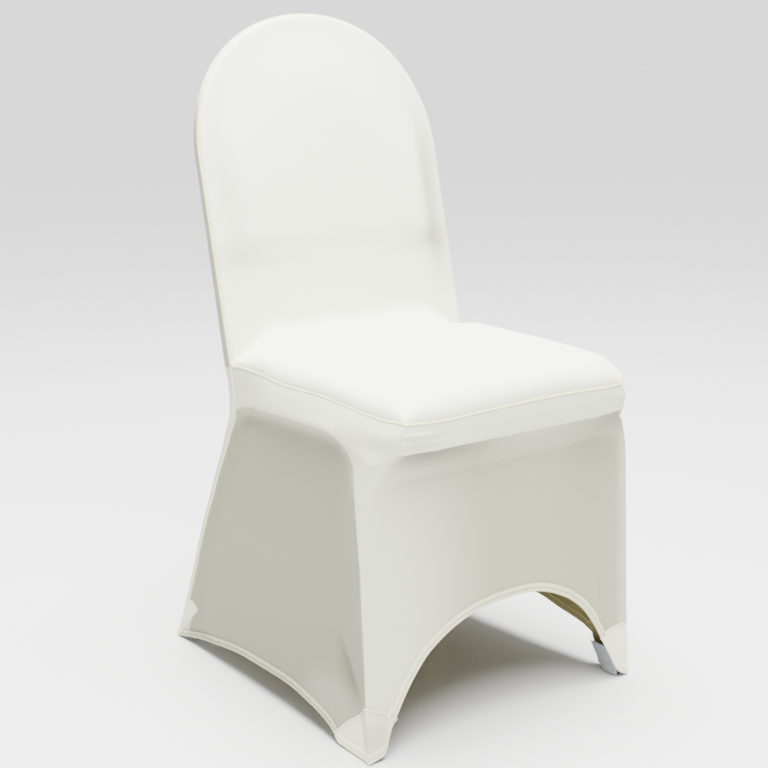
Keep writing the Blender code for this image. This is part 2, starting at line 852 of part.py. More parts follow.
def hem_points(cloth):
    """The points on the lower edge, where the cloth is folded up and thicker."""
    uses = {}
    for faces in cloth.panels.values():
        for face in faces:
            for place, n in enumerate(face):
                pair = frozenset((n, face[(place + 1) % 4]))
                uses[pair] = uses.get(pair, 0) + 1
    return {n for pair, count in uses.items() if count == 1 for n in pair}


build()
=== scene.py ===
"""A stretch-knit cover for a round-backed stacking chair: finer sheets, sewing and a cloth finish with
painted shade.

Metres, +Z up. The tables' places are measured from the floor under the middle of the chair. Every
piece is then hung from the inside of the crown, which is the model's origin.
"""

import bisect
import math

import bpy
import numpy as np
from mathutils import Matrix, Vector


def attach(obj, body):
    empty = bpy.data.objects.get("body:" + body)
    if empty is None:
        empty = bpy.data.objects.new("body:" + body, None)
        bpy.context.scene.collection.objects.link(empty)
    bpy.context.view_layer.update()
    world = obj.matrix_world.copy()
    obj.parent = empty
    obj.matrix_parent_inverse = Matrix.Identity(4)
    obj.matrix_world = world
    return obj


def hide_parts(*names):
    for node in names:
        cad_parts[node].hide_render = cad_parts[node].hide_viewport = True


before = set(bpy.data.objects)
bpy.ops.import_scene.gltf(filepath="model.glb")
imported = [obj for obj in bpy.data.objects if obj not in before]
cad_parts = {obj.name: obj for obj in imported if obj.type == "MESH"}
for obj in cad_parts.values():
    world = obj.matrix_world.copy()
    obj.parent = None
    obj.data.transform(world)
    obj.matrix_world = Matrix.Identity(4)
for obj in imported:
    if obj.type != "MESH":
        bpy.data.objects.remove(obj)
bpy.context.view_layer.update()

# Cloth: a solid's sheet, the sheets here, and how far the knit is stretched over the chair
SHEET = 0.0016
CLOTH = 0.0011
PATCH_CLOTH = 0.0008
STRETCH = 1.12

# Back: a flat outline with a round crown, leaning backwards
LEAN = math.radians(13.09)
BACK_FOOT_Y, BACK_FOOT_Z = 0.0640, 0.3920
BACK_HALF = 0.2060
SHOULDER = 0.3480
CROWN = 0.5535
CROWN_POWER, INNER_POWER = 2.1, 2.35
JUNCTION = 0.0630
RIM_ROLL, RIM_LIFT = 0.0120, 0.0060
PAD_LIFT = 0.0110
PAD_EDGE, PAD_SLOPE = 0.0220, 0.0320
PAD_FOOT, PAD_FOOT_SLOPE = 0.1900, 0.0520
PAD_CROWN = 0.0040

# Seat cushion under the front panel
SEAT_HALF = 0.2055
CORNERS = (
    # side, half width at the front, how far the corner is set back, length of its round
    (-1.0, 0.1925, 0.0, 0.15),
    (1.0, 0.1750, 0.006, 0.09),
)
SEAT_BACK_Y, SEAT_FRONT_Y = 0.0783, -0.3030
SEAM_BACK_Z, SEAM_FRONT_Z = 0.4534, 0.4405
SEAT_RISE, SEAT_RISE_AT_BACK = 0.0310, 0.50
SEAT_CROWN = 0.0060
SEAT_ROLL = 0.0450
BRIDGE, BRIDGE_EDGE = 0.0600, 0.0060

# Legs of the chair, as the cloth meets them: x, y
FRONT_FOOT = (0.2295, -0.2690)
REAR_FOOT = (0.2080, 0.2540)

# Mesh steps, finer than the solids'
ARC_ROWS = 22
BACK_ROWS = 54
SEAT_ROWS = 60
SHARED = ARC_ROWS + BACK_ROWS
FRONT_ROWS = SHARED + SEAT_ROWS
INNER_COLUMNS = 64
LOOP_COUNT = 13
LOOPS = tuple(0.048 * (n / LOOP_COUNT) ** 1.6 for n in range(LOOP_COUNT + 1))
SEAT_REACH = -0.3813
SEAT_STEPS = [SEAT_REACH * (1.0 - (1.0 - n / SEAT_ROWS) ** 1.35) for n in range(SEAT_ROWS + 1)]
LEVEL_STEPS = 12
LEVEL_ROWS = 4 * LEVEL_STEPS
MEMBRANE_STEPS = 60
# Rows by the hem, as distances from its edge
HEM_STEPS = (
    0.0300, 0.0240, 0.0190, 0.0160, 0.0140, 0.0125, 0.0112, 0.0100,
    0.0086, 0.0072, 0.0058, 0.0044, 0.0030, 0.0016, 0.0006, 0.0,
)
GAPS = (1.0,) * (LEVEL_ROWS + 1) + (0.05,) * (MEMBRANE_STEPS - 1) + HEM_STEPS
LOWER_ROWS = len(GAPS) - 1
REAR_ROWS = SHARED + LOWER_ROWS
STITCHED_ROWS = (5, 9)
HEM_WIDTH, HEM_FADE = 0.0128, 0.0012

# Uneven seam between the seat and the skirt, above or below its even line: (y or x, up)
SIDE_WAVE = (
    (0.0783, 0.0), (0.0533, 0.0030), (0.0031, 0.0030), (-0.0480, -0.0005), (-0.0953, 0.0007),
    (-0.1405, 0.0033), (-0.1845, 0.0023), (-0.2255, -0.0001), (-0.2628, -0.0015), (-0.3030, 0.0006),
)
FRONT_WAVE = (
    (-0.1925, 0.0006), (-0.1555, -0.0024), (-0.1244, -0.0032), (-0.0926, -0.0018), (-0.0439, -0.0004),
    (0.0066, 0.0009), (0.0585, 0.0012), (0.1100, 0.0002), (0.1607, -0.0018), (0.1750, -0.0010),
)

# Rim of the rear panel: how far out from the outline, and how far behind it
RIM = (
    (0.0, 0.0), (0.0012, 0.0040), (0.0008, 0.0090),
    (-0.0018, 0.0150), (-0.0070, 0.0200), (-0.0160, 0.0230),
)
RIM_INNER = (-0.0480, 0.0245)
RIM_AT_SEAT, RIM_AT_FOOT = 1.30, 0.60
RIM_STEPS = 3
REAR_LOOPS = RIM_STEPS * len(RIM)

# Seam between the side and the rear panel, from the seat down to the floor: z, x, y
REAR_SEAM = (
    (0.4534, 0.2055, 0.0783), (0.4320, 0.2052, 0.0733), (0.4100, 0.2062, 0.0703),
    (0.3920, 0.2085, 0.0692), (0.3530, 0.2128, 0.0808), (0.2790, 0.2136, 0.1170),
    (0.1790, 0.2115, 0.1690), (0.0685, 0.2094, 0.2200), (0.0, 0.2080, 0.2540),
)

# Lower edge of the seat frame on the side, where the cloth turns in: y, z
SIDE_RIDGE = (
    (0.0690, 0.392), (0.0500, 0.402), (0.0090, 0.410), (-0.0850, 0.414),
    (-0.1710, 0.416), (-0.2215, 0.406), (-0.2430, 0.386), (-0.2560, 0.352),
)
SIDE_RECESS, SIDE_RECESS_DROP = 0.0080, 0.0170

# Hems: (x, z) on the front, (y, z) on the sides
HEMS = {
    "front": (
        (-0.2295, 0.0), (-0.2030, 0.0060), (-0.1950, 0.0370), (-0.1850, 0.0525), (-0.1690, 0.0810),
        (-0.1500, 0.1080), (-0.1340, 0.1255), (-0.1160, 0.1385), (-0.0940, 0.1510), (-0.0720, 0.1598),
        (-0.0450, 0.1666), (-0.0150, 0.1700), (0.0150, 0.1708), (0.0430, 0.1688), (0.0700, 0.1620),
        (0.0900, 0.1535), (0.1080, 0.1440), (0.1240, 0.1325), (0.1370, 0.1208), (0.1490, 0.1066),
        (0.1610, 0.0903), (0.1700, 0.0755), (0.1870, 0.0480), (0.2130, 0.0080), (0.2295, 0.0),
    ),
    "left": (
        (-0.2690, 0.0), (-0.2050, 0.0010), (-0.1750, 0.0190), (-0.1370, 0.0290),
        (-0.0620, 0.0377), (0.0450, 0.0353), (0.1650, 0.0196), (0.2540, 0.0),
    ),
    "right": (
        (-0.2690, 0.0), (-0.2150, 0.0010), (-0.2030, 0.0430), (-0.1340, 0.0610), (-0.0795, 0.0717),
        (0.0300, 0.0730), (0.1300, 0.0560), (0.2100, 0.0060), (0.2540, 0.0),
    ),
}
REAR_HEM_RISE = 0.1250
SIGN = {"left": -1.0, "right": 1.0}

SMOOTH = {}


def look_up(table, value, column=1):
    """A column of a table against its first, along a smooth line that never overshoots its rows."""
    if (table, column) not in SMOOTH:
        rows = sorted(table)
        at, held = ([float(row[k]) for row in rows] for k in (0, column))
        steps = [(held[n + 1] - held[n]) / (at[n + 1] - at[n]) for n in range(len(at) - 1)]
        slopes = [2.0 * a * b / (a + b) if a * b > 0 else 0.0 for a, b in zip(steps, steps[1:])]
        SMOOTH[(table, column)] = at, held, [steps[0]] + slopes + [steps[-1]]
    at, held, slopes = SMOOTH[(table, column)]
    value = min(max(value, at[0]), at[-1])
    n = min(max(bisect.bisect_right(at, value) - 1, 0), len(at) - 2)
    wide = at[n + 1] - at[n]
    t = (value - at[n]) / wide
    low = (1 + 2 * t) * (1 - t) ** 2 * held[n] + t * (1 - t) ** 2 * wide * slopes[n]
    return low + t * t * (3 - 2 * t) * held[n + 1] + t * t * (t - 1) * wide * slopes[n + 1]


def ease(value):
    """0 to 1 with flat ends."""
    value = min(max(value, 0.0), 1.0)
    return value * value * (3.0 - 2.0 * value)


def hump(value, middle, width):
    """A soft bump of height 1."""
    return math.exp(-(((value - middle) / width) ** 2))


def round_over(distance, reach):
    """0 at an edge to 1 at `reach` inside it, upright at the edge like a rounded cushion."""
    inside = min(max(distance / reach, 0.0), 1.0)
    return (1.0 - (1.0 - inside) ** 2.2) ** (1.0 / 2.2)


def unit(vectors):
    """Vectors, one to a row, at length 1."""
    return vectors / np.maximum(np.linalg.norm(vectors, axis=1), 1e-12)[:, None]


def way_along(line):
    """How far along a line of points each one is."""
    return np.concatenate(([0.0], np.cumsum(np.linalg.norm(np.diff(line, axis=0), axis=1))))


def spread(start, end, steps):
    """Even steps from start to end."""
    return [start + (end - start) * n / steps for n in range(steps + 1)]


def back_point(x, up, forward):
    """A place on the leaning back: `up` along it, `forward` off it."""
    s, c = math.sin(LEAN), math.cos(LEAN)
    return np.array((x, BACK_FOOT_Y + up * s - forward * c, BACK_FOOT_Z + up * c + forward * s))


HOOK = back_point(0.0, CROWN - SHEET, -0.010)


def crown_point(angle, inset, power):
    """The crown's outline at an angle, drawn in by `inset`."""
    c, s = math.cos(angle), math.sin(angle)
    across = (BACK_HALF - inset) * math.copysign(abs(c) ** (2.0 / power), c)
    return across, SHOULDER + (CROWN - SHOULDER - inset) * abs(s) ** (2.0 / power)


def inside_outline(x, up):
    """How far a place of the back lies inside its outline."""
    if up <= SHOULDER:
        return BACK_HALF - abs(x)
    rise = (up - SHOULDER) / (CROWN - SHOULDER)
    share = (abs(x) / BACK_HALF) ** CROWN_POWER + rise ** CROWN_POWER
    return (1.0 - share ** (1.0 / CROWN_POWER)) * BACK_HALF


def corner_of(side):
    """The row of the seat's corners on this side."""
    return CORNERS[0] if side < 0 else CORNERS[1]


def seat_half(y, side):
    """Half the seat's width at the seam, drawn in towards the front corner."""
    _, half, _, length = corner_of(side)
    share = min(max((y - SEAT_FRONT_Y) / length, 0.0), 1.0)
    return half + (SEAT_HALF - half) * (1.0 - (1.0 - share) ** 2.5)


def seat_front(x):
    """The front seam's place, set back a little towards the corners."""
    _, half, back, _ = corner_of(x)
    return SEAT_FRONT_Y + back * min(abs(x) / half, 1.0) ** 6


def seam_height(y):
    """Height of the seat's seam."""
    share = (y - SEAT_FRONT_Y) / (SEAT_BACK_Y - SEAT_FRONT_Y)
    return SEAM_FRONT_Z + (SEAM_BACK_Z - SEAM_FRONT_Z) * max(share, 0.0) ** 0.8


def back_surface(x, up):
    """The front panel over the rim and the raised pad."""
    inset = inside_outline(x, up)
    high = ease((up - 0.300) / 0.150)
    edge = ease((inset - PAD_EDGE) / PAD_SLOPE) * (1.0 - high) + ease(inset / 0.150) * high
    pad = edge * ease((up - PAD_FOOT) / PAD_FOOT_SLOPE)
    forward = RIM_LIFT * round_over(inset, RIM_ROLL) + PAD_LIFT * pad
    forward += PAD_CROWN * (1.0 - (x / BACK_HALF) ** 2) * ease(inset / 0.1)
    return back_point(x, up, forward)


def seat_surface(x, y):
    """The front panel over the seat cushion."""
    inset = seat_half(y, x) - abs(x)
    rounded = round_over(inset, SEAT_ROLL) * round_over(y - seat_front(x), SEAT_ROLL)
    low = 1.0 - ease((SEAT_BACK_Y - y) / 0.09)
    rise = SEAT_RISE * (1.0 - (1.0 - SEAT_RISE_AT_BACK) * low) + SEAT_CROWN * ease(inset / 0.15)
    return np.array((x, y, seam_height(y) + rise * rounded))


def front_surface(x, along):
    """The front panel: `along` is above 0 on the back and below 0 on the seat."""
    reach = BRIDGE_EDGE + (BRIDGE - BRIDGE_EDGE) * ease((BACK_HALF - abs(x)) / 0.075)
    if along >= reach:
        return back_surface(x, JUNCTION + along)
    if along <= -reach:
        return seat_surface(x, SEAT_BACK_Y + along)
    high = back_surface(x, JUNCTION + reach)
    low = seat_surface(x, SEAT_BACK_Y - reach)
    corner = np.array((x, high[1] - math.tan(LEAN) * (high[2] - low[2]), low[2]))
    share = (reach - along) / (2.0 * reach)
    return (1 - share) ** 2 * high + 2 * share * (1 - share) * corner + share ** 2 * low


def side_rows(lower):
    """Places down one side, from the crown's corner: (angle or None, along)."""
    arc = [(angle, None) for angle in spread(math.radians(45), 0.0, ARC_ROWS)]
    straight = spread(SHOULDER - JUNCTION, 0.0, BACK_ROWS)[1:]
    return arc + [(None, along) for along in straight + list(lower)]


def crown_grid(inset):
    """Flat places of the crown inside its last loop, evened out: grid[row, column] of (x, up)."""
    angles = spread(math.radians(135), math.radians(45), INNER_COLUMNS)
    grid = np.zeros((ARC_ROWS + 1, INNER_COLUMNS + 1, 2))
    grid[0] = [crown_point(angle, inset, INNER_POWER) for angle in angles]
    for row, angle in enumerate(spread(math.radians(45), 0.0, ARC_ROWS)):
        if row:
            x, up = crown_point(angle, inset, INNER_POWER)
            share = row / ARC_ROWS
            grid[row, :, 0] = spread(-x, x, INNER_COLUMNS)
            grid[row, :, 1] = up * share + grid[0, :, 1] * (1 - share)
            grid[row, 0], grid[row, -1] = (-x, up), (x, up)
    for _ in range(60):
        mid = grid[:-2, 1:-1] + grid[2:, 1:-1] + grid[1:-1, :-2] + grid[1:-1, 2:]
        grid[1:-1, 1:-1] = mid / 4.0
    return grid


def power_at(inset):
    """The crown's outline gets a little squarer towards the loops inside it."""
    return CROWN_POWER + (INNER_POWER - CROWN_POWER) * min(max(inset, 0.0) / LOOPS[-1], 1.0) ** 2


class Cloth:
    """All the panels' outer faces, which share the points on their seams."""

    def __init__(self):
        self.places, self.facts = [], []
        self.number, self.panels, self.flat = {}, {}, {}

    def point(self, key, panel, place, flat, facts):
        """The point with this key, made on first use; flat is its place on this panel's cut."""
        if key not in self.number:
            self.number[key] = len(self.places)
            self.places.append(np.array(place, dtype=float))
            self.facts.append(dict(facts, panel=panel))
        n = self.number[key]
        self.flat[(panel, n)] = flat
        return n

    def quad(self, panel, corners):
        """Adds one face, its corners counter-clockwise from outside."""
        self.panels.setdefault(panel, []).append(tuple(corners))

    def settle(self):
        """Presses the folds, hems and seam dips into the cloth."""
        places = np.array(self.places)
        lifts = np.array([relief(place, facts) for place, facts in zip(places, self.facts)])
        self.places = places + self.normals(places) * lifts[:, None]
        self.out = self.normals(self.places)
        self.tints = np.array([tint(place, facts) for place, facts in zip(places, self.facts)])

    def normals(self, places):
        """Outward directions at the points."""
        faces = np.array([face for panel in self.panels.values() for face in panel])
        corners = places[faces]
        across = np.cross(corners[:, 2] - corners[:, 0], corners[:, 3] - corners[:, 1])
        total = np.zeros_like(places)
        for n in range(4):
            np.add.at(total, faces[:, n], across)
        return unit(total)

    def line(self, keys):
        """The settled places and outward directions of a run of named points."""
        numbers = [self.number[key] for key in keys]
        return self.places[numbers], self.out[numbers]


def along_points(points, at):
    """Places on a smooth line through the points; `at` counts the points from the second."""
    n = min(int(at), len(points) - 4)
    a, b, c, d = points[n : n + 4]
    t = at - n
    return b + 0.5 * t * (c - a + t * (2 * a - 5 * b + 4 * c - d + t * (3 * (b - c) + d - a)))


def fold(place, line, width, axes):
    """How close a place is to a line of points, 0 to 1, fading at the line's ends."""
    p = place[list(axes)]
    best = 0.0
    for n, (start, end) in enumerate(zip(line, line[1:])):
        run = np.subtract(end, start)
        share = min(max(float((p - start) @ run / (run @ run)), 0.0), 1.0)
        gap = float(np.linalg.norm(p - start - run * share))
        whole = (n + share) / (len(line) - 1)
        best = max(best, hump(gap, 0.0, width) * math.sin(math.pi * (0.12 + 0.76 * whole)))
    return best


# Where the side's cloth leaves the chair's frame, under the seat and down the front leg: y, z
SIDE_ARCH = (
    (0.0690, 0.3920), (0.0500, 0.4020), (0.0090, 0.4100), (-0.0850, 0.4140), (-0.1710, 0.4160),
    (-0.2020, 0.4130), (-0.2210, 0.4030), (-0.2360, 0.3840), (-0.2460, 0.3560), (-0.2510, 0.3250),
    (-0.2572, 0.2616), (-0.2640, 0.1327), (-0.2661, 0.0736), (-0.2680, 0.0200),
)
ARCH_CLOSE = ((-0.2680, -0.0500), (0.3000, -0.0500), (0.2400, 0.0), (0.0900, 0.3500))


def arch_gap(y, z):
    """How far a place of the side lies below the frame's edge: above 0 where the cloth is free."""
    p = np.array((y, z))
    starts = np.array(SIDE_ARCH[:-1])
    runs = np.array(SIDE_ARCH[1:]) - starts
    shares = np.clip(((p - starts) * runs).sum(axis=1) / (runs * runs).sum(axis=1), 0.0, 1.0)
    gap = float(np.linalg.norm(p - starts - runs * shares[:, None], axis=1).min())
    ring = SIDE_ARCH + ARCH_CLOSE
    inside = False
    for (ay, az), (by, bz) in zip(ring, ring[1:] + ring[:1]):
        if (az > z) != (bz > z) and y < ay + (z - az) * (by - ay) / (bz - az):
            inside = not inside
    return gap if inside else -gap


# Folds pressed into the skirt: its part, line in (x, z) or (y, z), width, height
FOLDS = (
    ("left", ((-0.2030, 0.1420), (-0.2235, 0.1040), (-0.2405, 0.0776)), 0.0095, -0.0048),
    ("left", ((-0.1880, 0.1180), (-0.2050, 0.0860), (-0.2180, 0.0600)), 0.0110, 0.0024),
    ("left", ((0.1500, 0.0290), (0.1799, 0.0250), (0.2187, 0.0175)), 0.0060, -0.0022),
    ("right", ((-0.2060, 0.1500), (-0.2300, 0.1100), (-0.2400, 0.0850)), 0.0060, -0.0022),
    ("front", ((0.1660, 0.1900), (0.1726, 0.1300), (0.1800, 0.0800)), 0.0095, -0.0042),
    ("front", ((-0.1700, 0.1500), (-0.1900, 0.1000), (-0.2020, 0.0700)), 0.0090, -0.0010),
    ("boxing", ((-0.2040, 0.4275), (-0.1780, 0.4262), (-0.1400, 0.4235)), 0.0026, 0.0021),
    ("boxing", ((-0.2050, 0.4185), (-0.1780, 0.4170), (-0.1300, 0.4130)), 0.0026, 0.0024),
    ("boxing", ((-0.2060, 0.4100), (-0.1780, 0.4080), (-0.1400, 0.4040)), 0.0024, 0.0018),
    ("boxing", ((0.1600, 0.4235), (0.1800, 0.4245), (0.1900, 0.4240)), 0.0026, 0.0018),
)
# Depth of the shadow under the cushion's lower front edge: x, share of the light lost
LIP_SHADOW = (
    (-0.212, 0.00), (-0.196, 0.42), (-0.180, 0.62), (-0.155, 0.66), (-0.126, 0.62),
    (-0.089, 0.47), (-0.034, 0.13), (0.020, 0.04), (0.077, 0.08), (0.130, 0.18),
    (0.170, 0.40), (0.190, 0.46), (0.204, 0.12),
)


def folds_at(where, level):
    """The folds in a part of the skirt at a level, and the plane that they are drawn in."""
    part = where if level > 3.9 else "boxing" if where == "front" and level < 2.1 else None
    axes = (0, 2) if where == "front" else (1, 2)
    return [(line, width, axes, height) for name, line, width, height in FOLDS if name == part]


def in_hem(gap):
    """1 on the doubled hem, 0 above it."""
    return ease((HEM_WIDTH - gap) / HEM_FADE)


def hem_relief(gap):
    """The folded hem, with its two stitched ridges, at a distance from the edge."""
    lift = 0.0007 * in_hem(gap)
    lift += 0.0014 * (hump(gap, 0.0026, 0.0018) + hump(gap, 0.0090, 0.0020))
    return lift - 0.0009 * hump(gap, 0.0, 0.0008) - 0.0005 * hump(gap, 0.0138, 0.0010)


def unevenness(place):
    """Slow waves of a hand-stretched cloth."""
    x, y, z = place * 1000.0
    wave = math.sin(x / 41.0 + z / 63.0 + 0.7) * math.sin(z / 37.0 - y / 55.0 + 1.9)
    return wave + 0.6 * math.sin(x / 23.0 - z / 29.0 + y / 31.0) * math.sin(z / 19.0 + 0.4)


def lip_edge(x):
    """Where the cushion's lower front edge shows as a line: 1 along it, 0 at the corners."""
    return ease((x + 0.202) / 0.022) * ease((0.192 - x) / 0.018)


def relief(place, facts):
    """How far the cloth stands off its even shape."""
    seam = facts["seam"]
    lift = 0.00018 * unevenness(place) - 0.0007 * hump(seam, 0.0, 0.0030) + hem_relief(facts["hem"])
    if facts["panel"] == "front_panel" and facts["along"] > 0:
        up = facts["along"] + JUNCTION
        for side, height in ((-1, 0.0016), (1, 0.0021)):
            lift -= height * hump(side * place[0], 0.168, 0.026) * hump(up, 0.206, 0.0150)
        lift -= 0.0016 * hump(seam, 0.0290, 0.0075) * ease((up - 0.19) / 0.10) * ease((0.38 - up) / 0.1)
        lift -= 0.0004 * hump(up, 0.202, 0.0130) * ease(seam / 0.05)
    elif facts["panel"] == "skirt":
        x, where, level = place[0], facts["where"], facts["level"]
        for *line, height in folds_at(where, level):
            lift += height * fold(place, *line)
        if where == "front":
            lip = (0.40 + 0.75 * ease((-0.04 - x) / 0.09) + 0.45 * hump(x, 0.165, 0.035)) * lip_edge(x)
            lift += lip * (0.0016 * hump(level, 1.84, 0.20) - 0.0034 * hump(level, 2.40, 0.26))
        else:
            free = facts["arch"]
            lift -= 0.0036 * ease(free / 0.0070) * (1.0 - 0.8 * ease((free - 0.012) / 0.09))
    return lift


def tint(place, facts):
    """Backing (1 over a cushion or frame; lower on faces turned from the light, as painted shade),
    doubled edge, free cloth in metres, and painted shade in hollows, above 1 where painted lighter.
    """
    x, y, z = place
    panel, seam, gap = facts["panel"], facts["seam"], facts["hem"]
    if panel == "front_panel":
        up = facts["along"] + JUNCTION
        right = ease((x + 0.06) / 0.12)
        band = hump(seam, 0.026, 0.020) * ease((up - 0.10) / 0.12) * ease((0.46 - up) / 0.16)
        ends = hump(abs(x), 0.160, 0.036) * hump(up, 0.210, 0.024)
        low = hump(up, 0.206, 0.016) * (1.0 - 2.0 * hump(x, 0.01, 0.10))
        # Painted shade along the pad's edges, deeper on the right, below the pad towards its ends and
        # at its lower corners; painted light below the pad's middle
        return 1.0, 0.0, -1.0, 1.0 - (0.12 + 0.32 * right) * band - 0.08 * low - 0.10 * ends
    hem, level = in_hem(gap), facts["level"]
    if panel == "rear_panel":
        # Painted shade on the rim strip beside the seam, fading out towards the crown
        rim = hump(seam, 0.007, 0.011)
        if level <= 0.0:
            rim *= ease((0.47 - (z - BACK_FOOT_Z) / math.cos(LEAN)) / 0.08)
            return 0.94 - 0.80 * rim, 0.0, -1.0, 1.0 - 0.35 * rim
        # Lower down: backed only near the seams and towards the seat, with the rim strip's painted
        # shade
        back = ease((2.2 - level) / 2.2) if seam > 0.030 else 1.0
        return max(back, ease((0.040 - seam) / 0.014)) * (0.9 - 0.5 * rim), hem, -1.0, 1.0
    # Painted shade along the hem: at its edge, in its groove and just above it
    groove = hump(gap, 0.0058, 0.0012)
    shade = 1.0 - 0.34 * hump(gap, 0.0, 0.0014) - 0.38 * hump(gap, 0.0058, 0.0011)
    shade -= 0.16 * hump(gap, 0.0136, 0.0014)
    if facts["where"] == "front":
        under = max(0.3935 - z, 0.0)
        leg = 1.0 - 0.85 * ease((abs(x + 0.205) - 0.012) / 0.19) if x < 0 else 0.15
        leg = max(leg, 0.55 * hump(x, 0.222, 0.014))
        close, wide = math.exp(-under / 0.040), math.exp(-under / 0.070)
        # Painted shadow under the cushion's lower front edge, and painted light in the middle below it
        leg *= 1.0 - 0.50 * ease((x + 0.200) / 0.060) * ease((0.01 - x) / 0.08) * close
        leg += ease((x + 0.08) / 0.08) * ease((0.170 - x) / 0.11) * (0.05 + 0.19 * wide)
        box = 1.0 - ease((level - 2.04) / (0.10 + 1.2 * (1.0 - lip_edge(x))))
        if level > 2.06:
            shade *= 1.0 - np.interp(x, *zip(*LIP_SHADOW)) * math.exp(-((under / 0.022) ** 1.6))
        # Painted shade: the front's backed brightness is 0.60 of the seat's, as it faces the light less
        return 0.60 * max(leg, box), 0.85 * hem * (1.0 - 0.55 * groove), -1.0, shade
    free = facts["arch"] * (1.0 - hump(facts["share"], 0.0, 0.010))
    if free > 0.0:
        pale = 0.95 * hump(y, -0.180, 0.070) * hump(z, 0.040, 0.055)
        free *= 1.0 + 14.0 * ease((0.350 - z) / 0.060) * ease((-0.05 - y) / 0.10)
        free = min(free, 0.030) * (1.0 - pale) + 0.0011 * pale
    # Painted shade: the side's backed brightness is set below the front's, rising to it at the front
    # corner
    top = 0.42 + 0.15 * hump(level, 0.4, 0.7)
    top += (0.60 - top) * ease((facts["share"] - 0.80) / 0.19)
    # Painted shade over the free cloth, deeper lower down, and in the folds that sink in
    shade *= 1.0 - (0.21 + 0.08 * ease((0.22 - z) / 0.14)) * ease(free / 0.004) * (1.0 - 0.6 * hem)
    for *line, height in folds_at(facts["where"], level):
        shade *= 1.0 - 0.34 * fold(place, *line) * (height < 0.0)
    # The side's hem is painted less pale than the front's, as painted shade
    return top, 0.42 * hem * (1.0 - 0.7 * groove), free, shade


def fold_back(m, rows):
    """Side and row of place m on a loop; on the crown the side is 0 and the row counts across it."""
    if rows <= m <= rows + INNER_COLUMNS:
        return 0, m - rows
    return (-1, rows - m) if m < rows else (1, m - rows - INNER_COLUMNS)


def outline_place(m, rows, inset, table):
    """Flat place (x side, x, along) number m of a loop that is drawn in by `inset`."""
    side, row = fold_back(m, rows)
    over = math.radians(135) - math.radians(90) * row / INNER_COLUMNS
    angle, along = table[row] if side else (over, None)
    if angle is None:
        return side, side * (BACK_HALF - inset), along
    x, up = crown_point(angle, inset, power_at(inset))
    return side or math.copysign(1.0, x), (side or 1) * x, up - JUNCTION


def horseshoe(cloth, panel, rows, loops, lower, place, inner, flip):
    """A panel of loops that run up one side, over the crown and down the other, and a grid inside.

    place(loop, m) gives a point on a loop, inner(row, column) one in the grid. The points on the
    outer edge are named so that neighbours share them; `lower` names those below the back.
    """

    def edge_key(m):
        side, row = fold_back(m, rows)
        if not side:
            return "crown", row
        where = "left" if side < 0 else "right"
        return ("rim", where, row) if row <= SHARED else (lower, where, row - SHARED)

    def grid(row, column):
        return cloth.point((panel, "grid", row, column), panel, *inner(row, column))

    def corner(loop, m):
        if loop < loops:
            key = (panel, "loop", loop, m) if loop else edge_key(m)
            return cloth.point(key, panel, *place(loop, m))
        side, row = fold_back(m, rows)
        return grid(row, INNER_COLUMNS if side > 0 else 0) if side else grid(0, row)

    for at, across, down in ((corner, loops, 2 * rows + INNER_COLUMNS), (grid, rows, INNER_COLUMNS)):
        for a in range(across):
            for b in range(down):
                face = [at(a, b), at(a + 1, b), at(a + 1, b + 1), at(a, b + 1)]
                cloth.quad(panel, face[::-1] if flip else face)


def side_plane(y):
    """Half width of the frame that the side's cloth lies against."""
    share = (y - FRONT_FOOT[1]) / (REAR_FOOT[1] - FRONT_FOOT[1])
    return FRONT_FOOT[0] + (REAR_FOOT[0] - FRONT_FOOT[0]) * share


def straight_side(share, where):
    """Corners down the side at a share of its length, and the place on the hem below."""
    _, corner_x, set_back, _ = corner_of(SIGN[where])
    corner_y = SEAT_FRONT_Y + set_back
    far = set_back * share ** 4
    seam_y = SEAT_BACK_Y + (SEAT_FRONT_Y - SEAT_BACK_Y) * share + far
    y = 0.0690 + (-0.2560 - 0.0690) * share
    foot_y = REAR_FOOT[1] + (FRONT_FOOT[1] - REAR_FOOT[1]) * share
    z, plane = look_up(SIDE_RIDGE, y), side_plane(y)
    near = ease((share - 0.80) / 0.20)

    def between(*pairs):
        """From the frame's edge, the first of each pair, to the front corner, the second."""
        return np.array([a * (1 - near) + b * near for a, b in pairs])

    seam = np.array((seat_half(seam_y - far, SIGN[where]), seam_y, seam_height(seam_y)))
    turn = between((plane, corner_x + 0.011), (y, corner_y + 0.006), (z + 0.004, 0.404))
    under = between((plane - 0.001, corner_x + 0.024), (y, corner_y + 0.024), (z - 0.005, 0.384))
    boxing = (seam + turn) / 2 + (0.001, 0.0, 0.0)
    boxing[1], low = between(((seam_y + y) / 2, corner_y), (z - SIDE_RECESS_DROP, 0.350))
    recess = SIDE_RECESS * (1.0 - near) * ease(share / 0.12)
    foot = np.array((side_plane(foot_y), foot_y, look_up(HEMS[where], foot_y)))
    return [seam, boxing, turn, under, np.array((plane - recess, y, low))], foot


def front_corners(share):
    """Corners down the front at a share of its half width, -1 to 1, and the place on the hem below."""
    middle = 1.0 - share * share
    edge = ease((abs(share) - 0.72) / 0.28)
    out = math.copysign(edge, share)
    x = corner_of(share)[1] * share
    y = seat_front(x)
    hem_x = FRONT_FOOT[0] * share
    corners = (
        (x, y, SEAM_FRONT_Z),
        (x + 0.005 * out, y - 0.002, 0.4220),
        (x + 0.011 * out, y + 0.006 * edge, 0.4030),
        (x + 0.024 * out, y + 0.018 + 0.006 * edge, 0.3920 - 0.008 * edge),
        (side_plane(-0.256) * share, -0.2545 - 0.016 * middle, 0.360 - 0.010 * edge),
    )
    foot = np.array((hem_x, FRONT_FOOT[1] - 0.004 * middle, look_up(HEMS["front"], hem_x)))
    return [np.array(corner) for corner in corners], foot


def seam_wave(y, x):
    """The uneven seam's height above its even line, near a place."""
    front = ease((-y - 0.270) / 0.033)
    side = look_up(SIDE_WAVE, y if x < 0 else y * 0.9 - 0.02)
    return side * (1.0 - front) + look_up(FRONT_WAVE, x) * front


